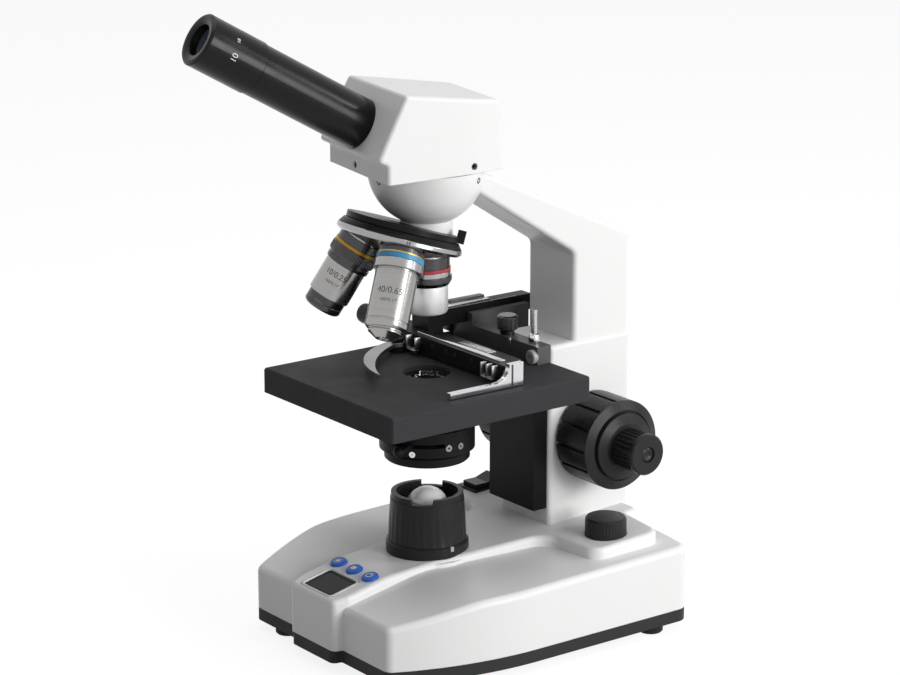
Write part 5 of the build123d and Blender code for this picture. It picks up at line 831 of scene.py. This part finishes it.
def underside():
    """Socket screws under the tray."""
    places = [((x, y, 5.35), (0, 0, -1)) for x, y in ((44.0, -40.0), (-44.0, -40.0), (60.0, 40.0), (-60.0, 40.0))]
    new_piece("tray_screws", screws(places, 3.7, 1.6, 1.8, STEEL), None, "stand", ["base_plate_screws"])


objective_40x()
objective_10x()
objective_4x()
nosepiece()
head_details()
focus_knobs()
base_controls()
lamp_details()
mover_details()
condenser_details()
clamp_details()
mover_knobs()
underside()


# Floor, light and camera; places and sizes of the lamps are in metres, their power in watts
FILL_LIGHT = 0.295
FLOOR_SEEN = (0.25, 0.25, 0.25, 1.0)
FLOOR_GLOW = 0.86
FLOOR_PLAIN = (0.42, 0.42, 0.42, 1.0)
FLOOR_HALF = 6.0
LAMP_AIM = Vector((0, 0.02, 0.16))
LAMPS = (("key", (1.45, 0.34, 0.46), 0.7, 14.8),
         ("rim", (0.95, 1.15, 0.70), 0.42, 6.8),
         ("top", (-0.1, 0.1, 1.4), 1.0, 5.0))


def background_share(tree):
    """1 for rays that see the background straight, in metal or through glass."""
    light = add(tree, "ShaderNodeLightPath")
    seen = math_node(tree, "ADD", light.outputs["Is Camera Ray"], light.outputs["Is Glossy Ray"])
    return math_node(tree, "MINIMUM", math_node(tree, "ADD", seen, light.outputs["Is Transmission Ray"]), 1.0)


def aimed(place, target):
    """Turn of a lamp or camera that looks from a place at a target."""
    return (Vector(target) - Vector(place)).to_track_quat("-Z", "Y").to_euler()


def surround():
    """White background that lights the object at a lower level."""
    world = bpy.data.worlds.new("surround")
    bpy.context.scene.world = world
    world.use_nodes = True
    tree = world.node_tree
    share = background_share(tree)
    strength = add(tree, "ShaderNodeMapRange", {"Value": share, 1: 0.0, 2: 1.0, 3: FILL_LIGHT, 4: 1.0})
    ground = tree.nodes["Background"]
    ground.inputs["Color"].default_value = (1.0, 1.0, 1.0, 1.0)
    tree.links.new(strength.outputs[0], ground.inputs["Strength"])


def pale_floor():
    """Floor that looks near white and keeps the object's shadow."""
    build = bmesh.new()
    bmesh.ops.create_grid(build, x_segments=1, y_segments=1, size=FLOOR_HALF)
    mesh = bpy.data.meshes.new("floor")
    build.to_mesh(mesh)
    build.free()
    floor = bpy.data.objects.new("floor", mesh)
    bpy.context.scene.collection.objects.link(floor)
    pale = bpy.data.materials.new("floor_pale")
    pale.use_nodes = True
    tree = pale.node_tree
    tree.nodes.remove(tree.nodes["Principled BSDF"])
    lit = add(tree, "ShaderNodeBsdfDiffuse", {"Color": FLOOR_SEEN})
    glow = add(tree, "ShaderNodeEmission", {"Strength": FLOOR_GLOW})
    seen = add(tree, "ShaderNodeAddShader", {0: lit.outputs[0], 1: glow.outputs[0]})
    plain = add(tree, "ShaderNodeBsdfDiffuse", {"Color": FLOOR_PLAIN})
    mix = add(tree, "ShaderNodeMixShader", {0: background_share(tree), 1: plain.outputs[0], 2: seen.outputs[0]})
    tree.links.new(mix.outputs[0], tree.nodes["Material Output"].inputs["Surface"])
    mesh.materials.append(pale)


def studio():
    """Surround, floor, a key lamp at the right, a smaller one behind it, a weak one above, and the camera."""
    scene = bpy.context.scene
    scene.view_settings.view_transform = "Standard"
    surround()
    pale_floor()
    for name, place, size, power in LAMPS:
        lamp = bpy.data.lights.new(name, "AREA")
        lamp.size = size
        lamp.energy = power
        light = bpy.data.objects.new(name, lamp)
        light.location = place
        light.rotation_euler = aimed(place, LAMP_AIM)
        scene.collection.objects.link(light)
    lens = bpy.data.cameras.new("camera")
    lens.lens = CAMERA_LENS
    lens.sensor_width = 36.0
    lens.clip_end = 20.0
    camera = bpy.data.objects.new("camera", lens)
    camera.location = Vector(CAMERA_PLACE) * MM
    camera.rotation_euler = aimed(CAMERA_PLACE, CAMERA_TARGET)
    scene.collection.objects.link(camera)
    scene.camera = camera


studio()
